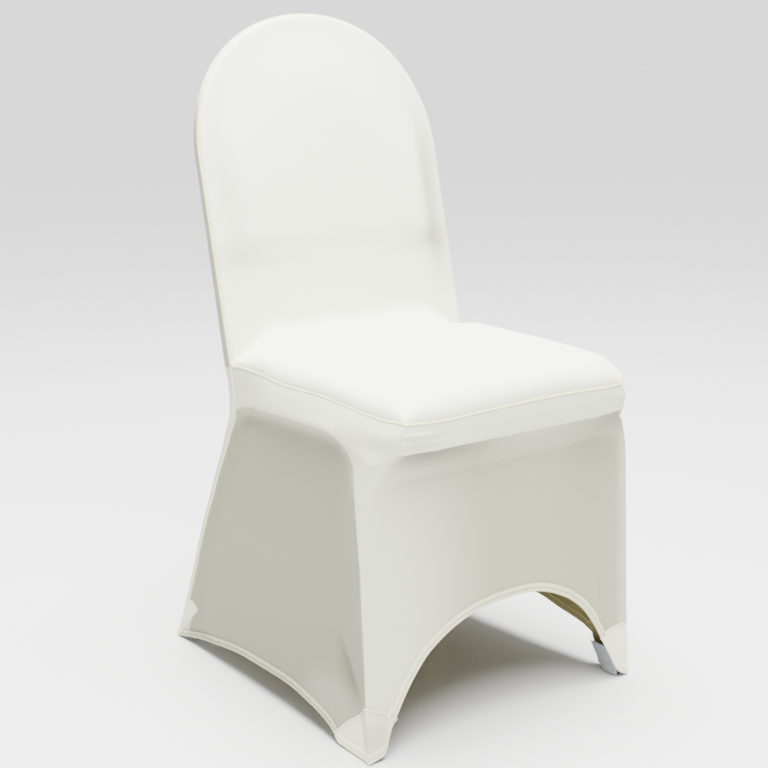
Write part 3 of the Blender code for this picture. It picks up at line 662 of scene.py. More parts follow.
def front_panel(cloth):
    """Front of the back and top of the seat, one piece with no seam between them."""
    table = side_rows(SEAT_STEPS[1:])
    crown = crown_grid(LOOPS[-1])

    def at(x, along, inset):
        flat = (x, along)
        if along < 0.0:
            far = (along / SEAT_REACH) ** 4
            x *= seat_half(SEAT_BACK_Y + along, x) / BACK_HALF
            along += (seat_front(x) - SEAT_FRONT_Y) * far
        place = front_surface(x, along)
        if along < 0.0:
            gap = max(min(inset, along - SEAT_REACH), 0.0)
            place[2] += seam_wave(SEAT_BACK_Y + along, x) * hump(gap, 0.0, 0.022) * ease(-along / 0.02)
        gap = max(min(inset, along - SEAT_REACH + 0.0001), 0.0)
        return place, flat, {"along": along, "seam": gap, "hem": 1.0}

    def place(loop, m):
        _, x, along = outline_place(m, FRONT_ROWS, LOOPS[loop], table)
        return at(x, along, LOOPS[loop])

    def inner(row, column):
        if row <= ARC_ROWS:
            x, up = crown[row, column]
            return at(x, up - JUNCTION, inside_outline(x, up))
        x = (BACK_HALF - LOOPS[-1]) * (2.0 * column / INNER_COLUMNS - 1.0)
        return at(x, table[row][1], BACK_HALF - abs(x))

    horseshoe(cloth, "front_panel", FRONT_ROWS, LOOP_COUNT, "seat", place, inner, False)


def membrane_parts(length, widen=1.0):
    """How far down the free cloth each row is, with the last rows true to the hem's width."""
    near = [1.0 - min(gap * widen, length * 0.5 * gap / HEM_STEPS[0]) / length for gap in HEM_STEPS]
    return [near[0] * n / MEMBRANE_STEPS for n in range(1, MEMBRANE_STEPS)] + near


LEG_TABLE = tuple((float(n), z) for n, z in enumerate((0.4534, 0.4300, 0.4000, 0.3880, 0.3740)))
LEG_LENGTH = 0.412
LEG_PARTS = membrane_parts(LEG_LENGTH)


def level_of(row):
    """0 at the seat's seam, 4 where the free cloth starts, 5 at the hem."""
    return row / LEVEL_STEPS if row <= LEVEL_ROWS else 4.0 + LEG_PARTS[row - LEVEL_ROWS - 1]


def seam_place(row):
    """The rear seam's height in a row, and its x (half width) and y."""
    level = level_of(row)
    z = look_up(LEG_TABLE, level) if level <= 4.0 else LEG_TABLE[-1][1] * (5.0 - level)
    return z, look_up(REAR_SEAM, z, 1), look_up(REAR_SEAM, z, 2)


def rear_hem(x):
    """Height of the rear hem, an arch between the feet."""
    share = min(abs(x) / (REAR_FOOT[0] - 0.022), 1.0)
    return REAR_HEM_RISE * math.sqrt(1.0 - share ** 2.2)


def rear_panel(cloth):
    """Rim and back of the back, and down to the rear hem, one piece."""
    table = side_rows(range(1, LOWER_ROWS + 1))
    crown = crown_grid(-RIM_INNER[0])
    posts = [np.array(p) for p in RIM + (RIM_INNER,)]
    posts = [2 * posts[0] - posts[1]] + posts + [2 * posts[-1] - posts[-2]]
    rim = [np.array(RIM[0])] + [along_points(posts, n / RIM_STEPS) for n in range(1, REAR_LOOPS + 1)]
    way = way_along(rim)
    peak = way[-1]

    def lower_place(side, row, out, behind, around, x_share=None):
        """A place on the lower part; x_share is set in the inner grid."""
        level = level_of(row)
        z, x, y = seam_place(row)
        turn = ease(level * 7.0 / 8.0 / 5.0 if level <= 4 else 0.7 + 0.3 * (level - 4) * 6)
        lean = LEAN * (1.0 - turn) - math.radians(24.5) * turn
        behind *= RIM_AT_SEAT + (RIM_AT_FOOT - RIM_AT_SEAT) * turn
        wide = (x + out) * (1.0 if x_share is None else x_share)
        bottom = rear_hem(wide)
        if bottom > 0.0:
            inside = ease((x - 0.012 - wide) / 0.03) if x_share is None else 1.0
            z += (bottom + z * (SEAM_BACK_Z - bottom) / SEAM_BACK_Z - z) * inside
            y = look_up(REAR_SEAM, z, 2)
        gap = (5.0 - level) * (LEG_TABLE[-1][1] - bottom * 0.8) if level > 4 else 1.0
        low = max(z - behind * math.sin(lean), 0.0)
        place = np.array((side * wide, y + behind * math.cos(lean), low))
        return place, (side * (wide + peak - around), -z), {"level": level, "seam": around, "hem": gap}

    def upper_place(x, along, behind, around, flat_x):
        """A place on the back, which is thicker towards the seat."""
        behind *= RIM_AT_SEAT + (1.0 - RIM_AT_SEAT) * ease(along / (SHOULDER - JUNCTION))
        facts = {"level": 0.0, "seam": around, "hem": 1.0}
        return back_point(x, JUNCTION + along, -behind), (flat_x, along), facts

    def place(loop, m):
        out, behind = rim[loop]
        _, row = fold_back(m, REAR_ROWS)
        side, x, along = outline_place(m, REAR_ROWS, -out, table)
        if row > SHARED:
            return lower_place(side, row - SHARED, out, behind, way[loop])
        return upper_place(x, along, behind, way[loop], x + side * (peak - way[loop]))

    def inner(row, column):
        out, behind = RIM_INNER
        share = 2.0 * column / INNER_COLUMNS - 1.0
        behind += 0.004 * (1.0 - share * share)
        if row > SHARED:
            side = 1.0 if share >= 0 else -1.0
            return lower_place(side, row - SHARED, out, behind, peak, abs(share))
        x, up = (BACK_HALF + out) * share, 0.0
        if row <= ARC_ROWS:
            x, up = crown[row, column]
        return upper_place(x, table[row][1] if row > ARC_ROWS else up - JUNCTION, behind, peak, x)

    horseshoe(cloth, "rear_panel", REAR_ROWS, REAR_LOOPS, "leg", place, inner, True)


def fine_column(corners, foot, parts):
    """Rows down one line of the skirt: a smooth run over its corners, then straight to the hem."""
    end = corners[-1]
    posts = [2 * corners[0] - corners[1]] + corners + [end + (foot - end) * 0.12]
    points = [along_points(posts, n / LEVEL_STEPS) for n in range(LEVEL_ROWS)]
    return points + [end] + [end + (foot - end) * part for part in parts]


def side_column(share, where, parts):
    """Down the side at a share of its length, from the rear seam (0) to the front corner (1)."""
    points = fine_column(*straight_side(share, where), parts)
    near = 1.0 - ease(share / 0.35)
    if near > 0.0:
        even = fine_column(*straight_side(0.0, where), parts)
        for row, straight in enumerate(even):
            z, x, y = seam_place(row)
            points[row] = points[row] + (np.array((x, y, z)) - straight) * near
    return points


def slope_at(table, at, step=0.003):
    """How much wider a sloping hem is, measured straight down."""
    rise = (look_up(table, at + step) - look_up(table, at - step)) / (2.0 * step)
    return min(math.sqrt(1.0 + rise * rise), 3.2)


def corner_spread(row):
    """How widely the cloth is rounded over the front corners: none at the seam, little at the foot."""
    if row <= LEVEL_ROWS:
        return 0.0105 * ease(row / LEVEL_STEPS / 0.9)
    down = (row - LEVEL_ROWS) / (LOWER_ROWS - LEVEL_ROWS)
    return 0.0105 - 0.0045 * ease(down / 0.4) - 0.0030 * ease((down - 0.55) / 0.45)


def smoothed(line, way, wide):
    """A line of points, each one the mean of those within about `wide` of it."""
    weights = np.exp(-(((way[:, None] - way[None, :]) / wide) ** 2) / 2.0) * np.gradient(way)
    return weights @ line / weights.sum(axis=1)[:, None]


def round_corner(grid, corner):
    """Rounds the rows of a grid of columns over one corner column, which stays where it is."""
    for row in range(1, grid.shape[1]):
        line, wide = grid[:, row], corner_spread(row)
        way = way_along(line)
        way -= way[corner]
        smooth = smoothed(line, way, wide)
        held = np.exp(-((way / (2.3 * wide)) ** 2))[:, None]
        smooth = smooth + (line[corner] - smooth[corner]) * held
        keep = np.clip((8.0 * wide - np.abs(way)) / (4.0 * wide), 0.0, 1.0)[:, None]
        grid[:, row] = line * (1.0 - keep) + smooth * keep


def ease_below(grid, corner):
    """Rounds the columns by the front corner where the cloth runs from the seat onto the leg."""
    across = np.linalg.norm(grid[:, LEVEL_ROWS] - grid[corner, LEVEL_ROWS], axis=1)
    levels = [min(row / LEVEL_STEPS, 4.0 + 0.25 * (row - LEVEL_ROWS)) for row in range(grid.shape[1])]
    hold = np.array(
        [[ease((level - 0.7) / 0.9) * (1.0 - ease((level - 5.0) / 1.5))] for level in levels]
    )
    for column in np.nonzero(across < 0.060)[0]:
        line = grid[column]
        smooth = smoothed(line, way_along(line), 0.0220 * hump(across[column], 0.0, 0.030) + 0.0004)
        grid[column] = line * (1.0 - hold) + smooth * hold


def skirt(cloth):
    """Left side, front and right side in one piece, from the seat's seam down to the hems."""
    last = LOOP_COUNT
    sides = [(n, SEAT_STEPS[n] / SEAT_REACH) for n in range(SEAT_ROWS + 1)]
    # Where the front panel's last row meets the front seam, as shares of its half width
    shares = [-(BACK_HALF - inset) / BACK_HALF for inset in LOOPS]
    middle = spread(shares[-1], -shares[-1], INNER_COLUMNS)
    shares = shares[1:-1] + middle + [-s for s in shares[-2:0:-1]]
    columns = [("left", *row) for row in sides]
    columns += [("front", n, share) for n, share in enumerate(shares, start=1)]
    columns += [("right", *row) for row in sides[::-1]]

    def key_of(where, n, row):
        """Names a point of the skirt, so that it is shared with the panel above or behind."""
        if row and (n or where == "front"):
            return "skirt", where, n, row
        if row:
            return "leg", where, row
        if where != "front":
            return ("seat", where, n) if n else ("rim", where, SHARED)
        if last <= n <= last + INNER_COLUMNS:
            return "front_panel", "grid", FRONT_ROWS, n - last
        if n < last:
            return "front_panel", "loop", n, 0
        return "front_panel", "loop", 2 * last + INNER_COLUMNS - n, 2 * FRONT_ROWS + INNER_COLUMNS

    lines = []
    for where, _, share in columns:
        if where == "front":
            corners, foot = front_corners(share)
            at, fade = foot[0], ease((1.0 - abs(share)) / 0.06)
        else:
            corners, foot = straight_side(share, where)
            at, fade = foot[1], ease(share / 0.05) * ease((1.0 - share) / 0.04)
        length = float(np.linalg.norm(foot - corners[-1]))
        parts = membrane_parts(length, 1.0 + (slope_at(HEMS[where], at) - 1.0) * fade)
        if where == "front":
            lines.append(fine_column(corners, foot, parts))
        else:
            line = side_column(share, where, parts if share > 0 else LEG_PARTS)
            lines.append([point * (SIGN[where], 1.0, 1.0) for point in line])
    lines = np.array(lines)
    for corner in (SEAT_ROWS, len(columns) - 1 - SEAT_ROWS):
        ease_below(lines, corner)
        round_corner(lines, corner)
    grid = []
    for (where, n, share), levels, across in zip(columns, lines, way_along(lines[:, LEVEL_ROWS])):
        line = []
        for row, (point, down) in enumerate(zip(levels, way_along(levels))):
            level = row / LEVEL_STEPS if row <= LEVEL_ROWS else 4.5
            if 0 < row <= 2 * LEVEL_STEPS:
                wave = seam_wave(point[1], point[0]) * (1.0 - ease(level / 1.6))
                point = point + (0.0, 0.0, wave)
            facts = {"where": where, "level": level, "share": abs(share)}
            facts.update(hem=GAPS[row], seam=down)
            if where != "front":
                facts["arch"] = arch_gap(point[1], point[2])
            line.append(cloth.point(key_of(where, n, row), "skirt", point, (across, -down), facts))
        grid.append(line)
    for left, right in zip(grid, grid[1:]):
        for row in range(LOWER_ROWS):
            cloth.quad("skirt", [left[row], left[row + 1], right[row + 1], right[row]])
    return grid


def mesh_object(name, places, polygons, looks, slot, flat=None, tints=None, kinds=None):
    """One body, hung from the crown, with its cut's places as its map and its tints (backing, doubled
    edge, free cloth and painted shade) as colours.
    """
    mesh = bpy.data.meshes.new(name)
    mesh.from_pydata((np.asarray(places) - HOOK).tolist(), [], polygons)
    mesh.validate()
    for look in looks:
        mesh.materials.append(look)
    if kinds is not None:
        mesh.polygons.foreach_set("material_index", np.array(kinds, dtype=np.int32))
    if flat is not None:
        corners = np.zeros(len(mesh.loops), dtype=np.int32)
        mesh.loops.foreach_get("vertex_index", corners)
        layer = mesh.uv_layers.new(name="cut")
        layer.data.foreach_set("uv", np.asarray(flat, dtype=np.float32)[corners].ravel())
        colours = mesh.color_attributes.new(name="state", type="FLOAT_COLOR", domain="POINT")
        full = np.ones((len(mesh.vertices), 4), dtype=np.float32)
        full[:, : tints.shape[1]] = tints
        colours.data.foreach_set("color", full.ravel())
    mesh.update()
    mesh.shade_smooth()
    body = bpy.data.objects.new(name, mesh)
    bpy.context.scene.collection.objects.link(body)
    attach(body, "root")
    return body


def sheet_body(node, places, out, faces, flat, tints, looks, depth, slot):
    """Closes a run of faces into an even sheet; its inner side takes the second look."""
    used = sorted({n for face in faces for n in face})
    local = {n: k for k, n in enumerate(used)}
    count = len(used)
    edges = dict.fromkeys((n, face[(k + 1) % 4]) for face in faces for k, n in enumerate(face))
    border = [(local[a], local[b]) for a, b in edges if (b, a) not in edges]
    polygons = []
    for face in faces:
        here = [local[n] for n in face]
        polygons += [here, [n + count for n in reversed(here)]]
    polygons += [[b, a, a + count, b + count] for a, b in border]
    upper = places[used]
    places = np.vstack((upper, upper - out[used] * depth))
    flat = np.tile([flat[n] for n in used], (2, 1))
    kinds = [0, 1] * len(faces) + [0] * len(border)
    tints = np.tile(tints[used], (2, 1))
    body = mesh_object("cloth_" + node, places, polygons, looks, slot, flat, tints, kinds)
    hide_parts(node)
    return body


def bead(points, out, wide, high, sides=8):
    """A round thread along a line: places and faces. Its size may change along it."""
    run = unit(np.gradient(points, axis=0))
    across = unit(np.cross(out, run))
    up = np.cross(run, across)
    angles = [2.0 * math.pi * k / sides for k in range(sides)]
    rings = [points + across * (wide * math.cos(a)) + up * (high * math.sin(a)) for a in angles]
    count = len(points)
    faces = []
    for n in range(count - 1):
        for k in range(sides):
            a, b = n * sides + k, n * sides + (k + 1) % sides
            faces.append([a, a + sides, b + sides, b])
    faces += [list(range(sides)), [(count - 1) * sides + k for k in reversed(range(sides))]]
    return np.stack(rings, axis=1).reshape(-1, 3), faces


def even_line(points, out, pitch):
    """A line read again at even steps."""
    way = way_along(points)
    at = np.linspace(0.0, way[-1], max(int(round(way[-1] / pitch)), 2) + 1)
    line, out = (
        np.stack([np.interp(at, way, values[:, k]) for k in range(3)], axis=1)
        for values in (points, out)
    )
    return line, unit(out)


def add_seam(name, line, out, look, slot, wide=0.0017, high=0.0012, pitch=0.0024):
    """A seam's overlocked edge, drawn in a little by each thread that goes round it."""
    line, out = even_line(line, out, pitch / 4.0)
    squeeze = 1.0 - 0.14 * (0.5 + 0.5 * np.cos(np.arange(len(line)) * math.pi / 2.0))[:, None]
    places, faces = bead(line + out * 0.0003, out, wide * squeeze, high * squeeze)
    mesh_object(name, places, faces, (look,), slot)


def stitches(line, out, length=0.0026, gap=0.0006, radius=0.00022):
    """A row of short threads lying on the cloth."""
    line, out = even_line(line, out, length + gap)
    parts = []
    for a, b, way in zip(line, line[1:], out):
        step = (b - a) * (length / (length + gap))
        dip = way * radius
        start = a + dip * 0.9
        points = np.array([start - dip, start + step * 0.5 + dip * 0.5, start + step - dip])
        parts.append(bead(points, np.array([way] * 3), radius, radius, 5))
    return parts


def wire(tree, kind, inputs, **settings):
    """Adds a node, or takes a made one, and fills its inputs with values or other nodes' outputs."""
    node = tree.nodes.new("ShaderNode" + kind) if isinstance(kind, str) else kind
    for key, value in settings.items():
        setattr(node, key, value)
    for name, value in inputs.items():
        if isinstance(value, bpy.types.NodeSocket):
            tree.links.new(value, node.inputs[name])
        else:
            node.inputs[name].default_value = value
    return node.outputs


def ramp(tree, value, low, high, **settings):
    """A map from one range, 0 to 1 unless it is given, to another."""
    inputs = {"Value": value, "To Min": low, "To Max": high}
    if "span" in settings:
        inputs["From Min"], inputs["From Max"] = settings.pop("span")
    return wire(tree, "MapRange", inputs, **settings)["Result"]


def times(tree, a, b):
    """The product of two numbers."""
    return wire(tree, "Math", {0: a, 1: b}, operation="MULTIPLY")["Value"]


def mixed(tree, a, b, share, kind="MIX"):
    """Two colours mixed."""
    inputs = {"Factor": share, "A": a, "B": b}
    return wire(tree, "Mix", inputs, data_type="RGBA", blend_type=kind)["Result"]


def new_look(name, inputs):
    """A material, its node tree and its shader."""
    look = bpy.data.materials.new(name)
    look.use_nodes = True
    shader = look.node_tree.nodes["Principled BSDF"]
    wire(look.node_tree, shader, inputs)
    return look, look.node_tree, shader


def finish_look(tree, shader, colour, height, strength, distance):
    """Gives a shader its colour and its low relief."""
    bump = wire(tree, "Bump", {"Strength": strength, "Distance": distance, "Height": height})
    wire(tree, shader, {"Base Color": colour, "Normal": bump["Normal"]})


# Free cloth: how much of the backed brightness stays just below the frame's edge, and where that fades
# out; painted shade where the cloth turns in under the frame
FREE_EDGE = 0.42
FREE_RISE = (0.0, 0.0022)
FREE_BAND = (0.0090, 0.0260)
# Wales and courses to a metre, over the wave's own pitch
KNIT = (95.0, 125.0, 1.0)


def cloth_look(name, shaded_free_colour, backed, hem, roughness, sheen, depth):
    """Stretch knit: warmer and darker where nothing lies behind it (painted shade), times the painted
    shade in the colours' alpha; paler on its doubled edges.
    """
    base = {"Roughness": roughness, "Sheen Weight": sheen, "Sheen Roughness": 0.45}
    look, tree, shader = new_look(name, {**base, "Specular IOR Level": 0.32})
    state = wire(tree, "VertexColor", {}, layer_name="state")
    split = wire(tree, "SeparateColor", {"Color": state["Color"]})
    free = split["Blue"]
    edge = ramp(tree, free, 1.0, FREE_EDGE, span=FREE_RISE, interpolation_type="SMOOTHSTEP")
    fade = ramp(tree, free, 1.0, 0.0, span=FREE_BAND, interpolation_type="SMOOTHSTEP")
    # Painted shade: cloth with nothing behind it is mixed towards the dark free-cloth colour
    backing_and_shade = times(tree, split["Red"], times(tree, edge, fade))
    colour = mixed(tree, (*shaded_free_colour, 1.0), (*backed, 1.0), backing_and_shade)
    colour = mixed(tree, colour, (*hem, 1.0), times(tree, split["Green"], 0.85))
    where = wire(tree, "TexCoord", {})["Object"]
    cloud = wire(tree, "TexNoise", {"Scale": 9.0, "Detail": 3.0, "Vector": where})["Fac"]
    cloud = ramp(tree, cloud, 0.975, 1.02)
    # Painted shade and light: the state colours' alpha darkens hollows, creases, folds and the sides,
    # and lightens a little below the back's pad
    colour = mixed(tree, colour, times(tree, cloud, state["Alpha"]), 1.0, "MULTIPLY")
    cut = wire(tree, "UVMap", {}, uv_map="cut")["UV"]
    sized = wire(tree, "Mapping", {"Scale": KNIT, "Vector": cut})["Vector"]
    waves = []
    for way, distortion in (("X", 0.5), ("Y", 0.8)):
        inputs = {"Scale": 1.0, "Distortion": distortion, "Detail": 1.0, "Vector": sized}
        kinds = {"wave_type": "BANDS", "bands_direction": way, "wave_profile": "SIN"}
        waves.append(wire(tree, "TexWave", inputs, **kinds)["Fac"])
    knit = times(tree, *waves)
    colour = mixed(tree, colour, ramp(tree, knit, 0.965, 1.01), 1.0, "MULTIPLY")
    finish_look(tree, shader, colour, knit, 0.35, depth)
    return look


def thread_look(name, colour, roughness):
    """Spun thread: fine strands and small changes of tone."""
    look, tree, shader = new_look(name, {"Roughness": roughness, "Sheen Weight": 0.2})
    where = wire(tree, "TexCoord", {})["Object"]
    noise = wire(tree, "TexNoise", {"Scale": 420.0, "Detail": 3.0, "Vector": where})["Fac"]
    colour = mixed(tree, (*colour, 1.0), ramp(tree, noise, 0.9, 1.06), 1.0, "MULTIPLY")
    finish_look(tree, shader, colour, noise, 0.4, 0.0002)
    return look


# Looks: name, colour with nothing behind it (dark, as painted shade), backed and at a hem, roughness,
# sheen, relief
OUTSIDE, INSIDE, DOUBLE, GREY = (
    cloth_look(*row)
    for row in (
        (
            "ivory_knit_outside", (0.262, 0.262, 0.165), (0.86, 0.885, 0.69), (0.8, 0.775, 0.51),
            0.58, 0.15, 0.0003,
        ),
        # The cover's inside, painted dark olive brown as the shade within the hollow cover
        (
            "ivory_knit_inside_painted_shade", (0.31, 0.27, 0.095), (0.33, 0.29, 0.105), (0.52, 0.46, 0.28),
            0.75, 0.05, 0.0003,
        ),
        (
            "ivory_knit_doubled", (0.48, 0.45, 0.31), (0.90, 0.88, 0.61), (0.91, 0.88, 0.76),
            0.62, 0.15, 0.0003,
        ),
        (
            "grey_knit_lining", (0.38, 0.42, 0.45), (0.42, 0.46, 0.49), (0.40, 0.43, 0.47),
            0.74, 0.1, 0.0004,
        ),
    )
)
SEAM_THREAD = thread_look("cream_overlock", (0.80, 0.75, 0.39), 0.7)
HEM_THREAD = thread_look("cream_stitch", (0.84, 0.79, 0.50), 0.65)
EDGE_THREAD = thread_look("cream_edge", (0.78, 0.76, 0.56), 0.7)


def add_seams(cloth):
    """Overlocked seams round the back, down the rear legs and round the seat."""
    down, shared = range(1, LOWER_ROWS + 1), range(1, SHARED + 1)
    back = [("leg", "left", n) for n in reversed(down)] + [("rim", "left", n) for n in reversed(shared)]
    back += [("crown", n) for n in range(INNER_COLUMNS + 1)]
    back += [("rim", "right", n) for n in shared] + [("leg", "right", n) for n in down]
    seat_rows, loops = range(1, SEAT_ROWS + 1), range(1, LOOP_COUNT)
    end = 2 * FRONT_ROWS + INNER_COLUMNS
    seat = [("rim", "left", SHARED)] + [("seat", "left", n) for n in seat_rows]
    seat += [("front_panel", "loop", n, 0) for n in loops]
    seat += [("front_panel", "grid", FRONT_ROWS, n) for n in range(INNER_COLUMNS + 1)]
    seat += [("front_panel", "loop", n, end) for n in reversed(loops)]
    seat += [("seat", "right", n) for n in reversed(seat_rows)] + [("rim", "right", SHARED)]
    add_seam("seam_back", *cloth.line(back), SEAM_THREAD, "ivory_knit")
    add_seam("seam_seat", *cloth.line(seat), SEAM_THREAD, "ivory_knit")


def rear_row(row):
    """The points across the rear panel in one of its lower rows, from its left seam to its right."""
    left, right = LOWER_ROWS - row, REAR_ROWS + INNER_COLUMNS + SHARED + row
    keys = [("rear_panel", "loop", loop, left) for loop in range(1, REAR_LOOPS)]
    keys += [("rear_panel", "grid", SHARED + row, column) for column in range(INNER_COLUMNS + 1)]
    return keys + [("rear_panel", "loop", loop, right) for loop in range(REAR_LOOPS - 1, 0, -1)]


def add_hem_stitches(cloth, columns):
    """The two rows of stitching on the skirt's and the rear panel's hems."""
    runs = []
    for up in STITCHED_ROWS:
        numbers, outer = ([column[-1 - n] for column in columns] for n in (up, up - 1))
        runs.append((cloth.places[numbers], cloth.out[outer]))
    runs += [cloth.line(rear_row(LOWER_ROWS - up)) for up in STITCHED_ROWS]
    places, faces, count = [], [], 0
    for line, out in runs:
        for more, quads in stitches(line[2:-2], out[2:-2]):
            places.append(more)
            faces += [[n + count for n in quad] for quad in quads]
            count += len(more)
    mesh_object("stitches_hem", np.vstack(places), faces, (HEM_THREAD,), "ivory_knit")


def read_between(grid, column, row):
    """Reads a grid at a part of a column and a part of a row."""
    c = min(max(int(column), 0), grid.shape[0] - 2)
    r = min(max(int(row), 0), grid.shape[1] - 2)
    s, t = column - c, row - r
    high = grid[c, r] * (1 - s) + grid[c + 1, r] * s
    low = grid[c, r + 1] * (1 - s) + grid[c + 1, r + 1] * s
    return high * (1 - t) + low * t


def row_at_height(places, column, height, last):
    """The part of a row at which a place between two columns passes a height."""
    c = min(max(int(column), 0), len(places) - 2)
    share = column - c
    zs = places[c, : last + 1, 2] * (1.0 - share) + places[c + 1, : last + 1, 2] * share
    below = np.nonzero(zs <= height)[0]
    if len(below) == 0:
        return float(last)
    r = max(int(below[0]), 1)
    return r - 1 + (zs[r - 1] - height) / max(zs[r - 1] - zs[r], 1e-9)


PATCH_ACROSS, PATCH_DOWN = 60, 28


def foot_patch(node, cloth, columns, tops, creases=(), foots=()):
    """The doubled layer round one foot: upper edge as (column, height), and lower where off the hem."""
    # Painted shade: the rear patches are painted darker
    rear_patch_shade = 0.84 if foots else 1.0
    places, outs = (
        np.array([table[column] for column in columns]) for table in (cloth.places, cloth.out)
    )
    last = len(columns[0]) - 1
    upper, out, flat, tints, edge, edge_out = [], [], [], [], [], []
    across = 0.0
    for n, column in enumerate(spread(tops[0][0], tops[-1][0], PATCH_ACROSS)):
        top = min(row_at_height(places, column, look_up(tops, column), last), last - 0.5)
        end = float(last)
        if foots and foots[0][0] <= column <= foots[-1][0]:
            end = max(row_at_height(places, column, look_up(foots, column), last), top + 0.5)
        rows = spread(top, end, PATCH_DOWN)
        spots = np.array([read_between(places, column, row) for row in rows])
        ways = unit(np.array([read_between(outs, column, row) for row in rows]))
        across += float(np.linalg.norm(spots[0] - first)) if n else 0.0
        first = spots[0]
        edge.append(first + ways[0] * 0.0009)
        edge_out.append(ways[0])
        for k, (spot, way, down) in enumerate(zip(spots, ways, way_along(spots))):
            pinch, crease_shade = (
                max([fold(spot, line, width, (1, 2)) for line in creases] + [0.0])
                for width in (0.0042, 0.0085)
            )
            rise = 0.0007 * min(1.0, 3.0 * k / PATCH_DOWN + 0.25) + 0.0007 * pinch
            slow = math.sin(spot[1] * 310.0 + spot[2] * 120.0)
            rise += 0.0004 * slow * math.sin(spot[2] * 210.0 + 0.6)
            # Painted shade along the crease
            tints.append((0.85 - 0.60 * crease_shade, 0.0, -1.0, rear_patch_shade * (1.0 - 0.16 * pinch - 0.26 * crease_shade)))
            upper.append(spot + way * max(rise, 0.0004))
            out.append(way)
            flat.append((across, -down))
    step = PATCH_DOWN + 1
    starts = [n * step + k for n in range(PATCH_ACROSS) for k in range(PATCH_DOWN)]
    faces = [(a, a + 1, a + step + 1, a + step) for a in starts]
    sheet = (np.array(upper), np.array(out), faces, flat, np.array(tints))
    body = sheet_body(node, *sheet, (DOUBLE, DOUBLE), PATCH_CLOTH, "ivory_knit_double")
    edge, edge_out = np.array(edge), np.array(edge_out)
    add_seam("seam_" + node, edge, edge_out, EDGE_THREAD, "ivory_knit_double", 0.0009, 0.0007, 0.0020)
    return body


def rear_columns(cloth, side):
    """The rear panel's loops beside one foot, as columns from its inside out to the seam."""
    where, end = ("left", 0) if side < 0 else ("right", 2 * REAR_ROWS + INNER_COLUMNS)
    rows = range(LOWER_ROWS + 1)
    found = [
        [("rear_panel", "loop", loop, abs(end - (LOWER_ROWS - row))) for row in rows]
        for loop in range(REAR_LOOPS - 1, 0, -1)
    ]
    found.append([("leg", where, row) if row else ("rim", where, SHARED) for row in rows])
    return [[cloth.number[key] for key in column] for column in found]


FEET = (
    # name, side, foot, pocket's reach across and along, leg's slope, how far inside the cloth
    ("front_left", -1.0, FRONT_FOOT, 0.0260, 0.0500, -0.045, 0.0036),
    ("front_right", 1.0, FRONT_FOOT, 0.0170, 0.0500, -0.045, 0.0042),
    ("rear_left", -1.0, REAR_FOOT, 0.0300, 0.0340, 0.465, 0.0031),
    ("rear_right", 1.0, REAR_FOOT, 0.0300, 0.0340, 0.465, 0.0031),
)
POCKET_HEIGHT, POCKET_FLARE = 0.0400, 0.4500
POCKET_BOW, POCKET_CLOTH = 0.0050, 0.0014
POCKET_STEPS, POCKET_ROWS = 20, 12


def foot_pocket(node, side, foot, across, reach, slope, clear):
    """The grey pouch inside one foot: a sole and a slack inner wall."""
    way = 1.0 if foot[1] < 0 else -1.0
    half, tip_y = foot
    tip = np.array((half - clear, tip_y + way * clear))
    start = np.array((half - across, tip_y + way * clear))
    end = np.array((side_plane(tip_y + way * reach) - clear, tip_y + way * reach))
    outer, inner = [], []
    for up in spread(0.0, 1.0, POCKET_ROWS):
        for share in spread(0.0, 1.0, POCKET_STEPS):
            bow = POCKET_BOW * math.sin(math.pi * share)
            p = start + (end - start) * share * (0.84 + 0.16 * up) + np.array((-bow, way * bow))
            away = (p - tip) / np.linalg.norm(p - tip)
            slack = 0.0012 * math.sin(share * 9.0 + 1.0) * up * math.sin(math.pi * share)
            q = p + away * (POCKET_FLARE * POCKET_HEIGHT * up * share + slack)
            edge = 0.0012 * math.sin(share * 9.4) + 0.0050 * ease((share - 0.35) / 0.65)
            height = POCKET_HEIGHT * up - abs(edge) * up
            outer.append((*q, height))
            inner.append((*(q - away * POCKET_CLOTH), height))
    steps, ring, count = POCKET_STEPS, POCKET_STEPS + 1, len(outer)
    top = POCKET_ROWS * ring
    faces = []
    for a in (row * ring + step for row in range(POCKET_ROWS) for step in range(steps)):
        b = count + a
        faces += [[a + 1, a, a + ring, a + ring + 1], [b, b + 1, b + ring + 1, b + ring]]
    for step in range(steps):
        a, b = top + step, count + top + step
        faces += [[a + 1, a, b, b + 1], [step, step + 1, 2 * count]]
        faces.append([count + step + 1, count + step, 2 * count + 1])
    for row in range(POCKET_ROWS):
        a, b = row * ring, row * ring + steps
        faces.append([a, count + a, count + a + ring, a + ring])
        faces.append([b + ring, count + b + ring, count + b, b])
    faces += [[0, 2 * count, 2 * count + 1, count], [steps, count + steps, 2 * count + 1, 2 * count]]
    places = outer + inner + [(*tip, 0.0), (*tip, POCKET_CLOTH)]
    places = np.array([(side * x, y - slope * z, z) for x, y, z in places])
    if side * way < 0:
        faces = [face[::-1] for face in faces]
    flat = places[:, [0, 2]] + places[:, [1, 1]] * (1.0, 0.0)
    tints = np.tile([[0.5, 0.0, -1.0]], (len(places), 1))
    body = mesh_object("cloth_" + node, places, faces, (GREY,), "grey_knit", flat, tints)
    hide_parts(node)
    return body


def declare(body, stretch):
    """Works out how large a sheet was cut: its area at rest, drawn from its own map, before stretching;
    the result is not kept.
    """
    spots = np.array([corner.uv[:] for corner in body.data.uv_layers["cut"].data])
    width, length = (float(size) / stretch for size in np.ptp(spots, axis=0))
    area = sum(face.area for face in body.data.polygons) / 2.0 / stretch ** 2
    area = min(max(area, 0.3 * width * length), width * length)


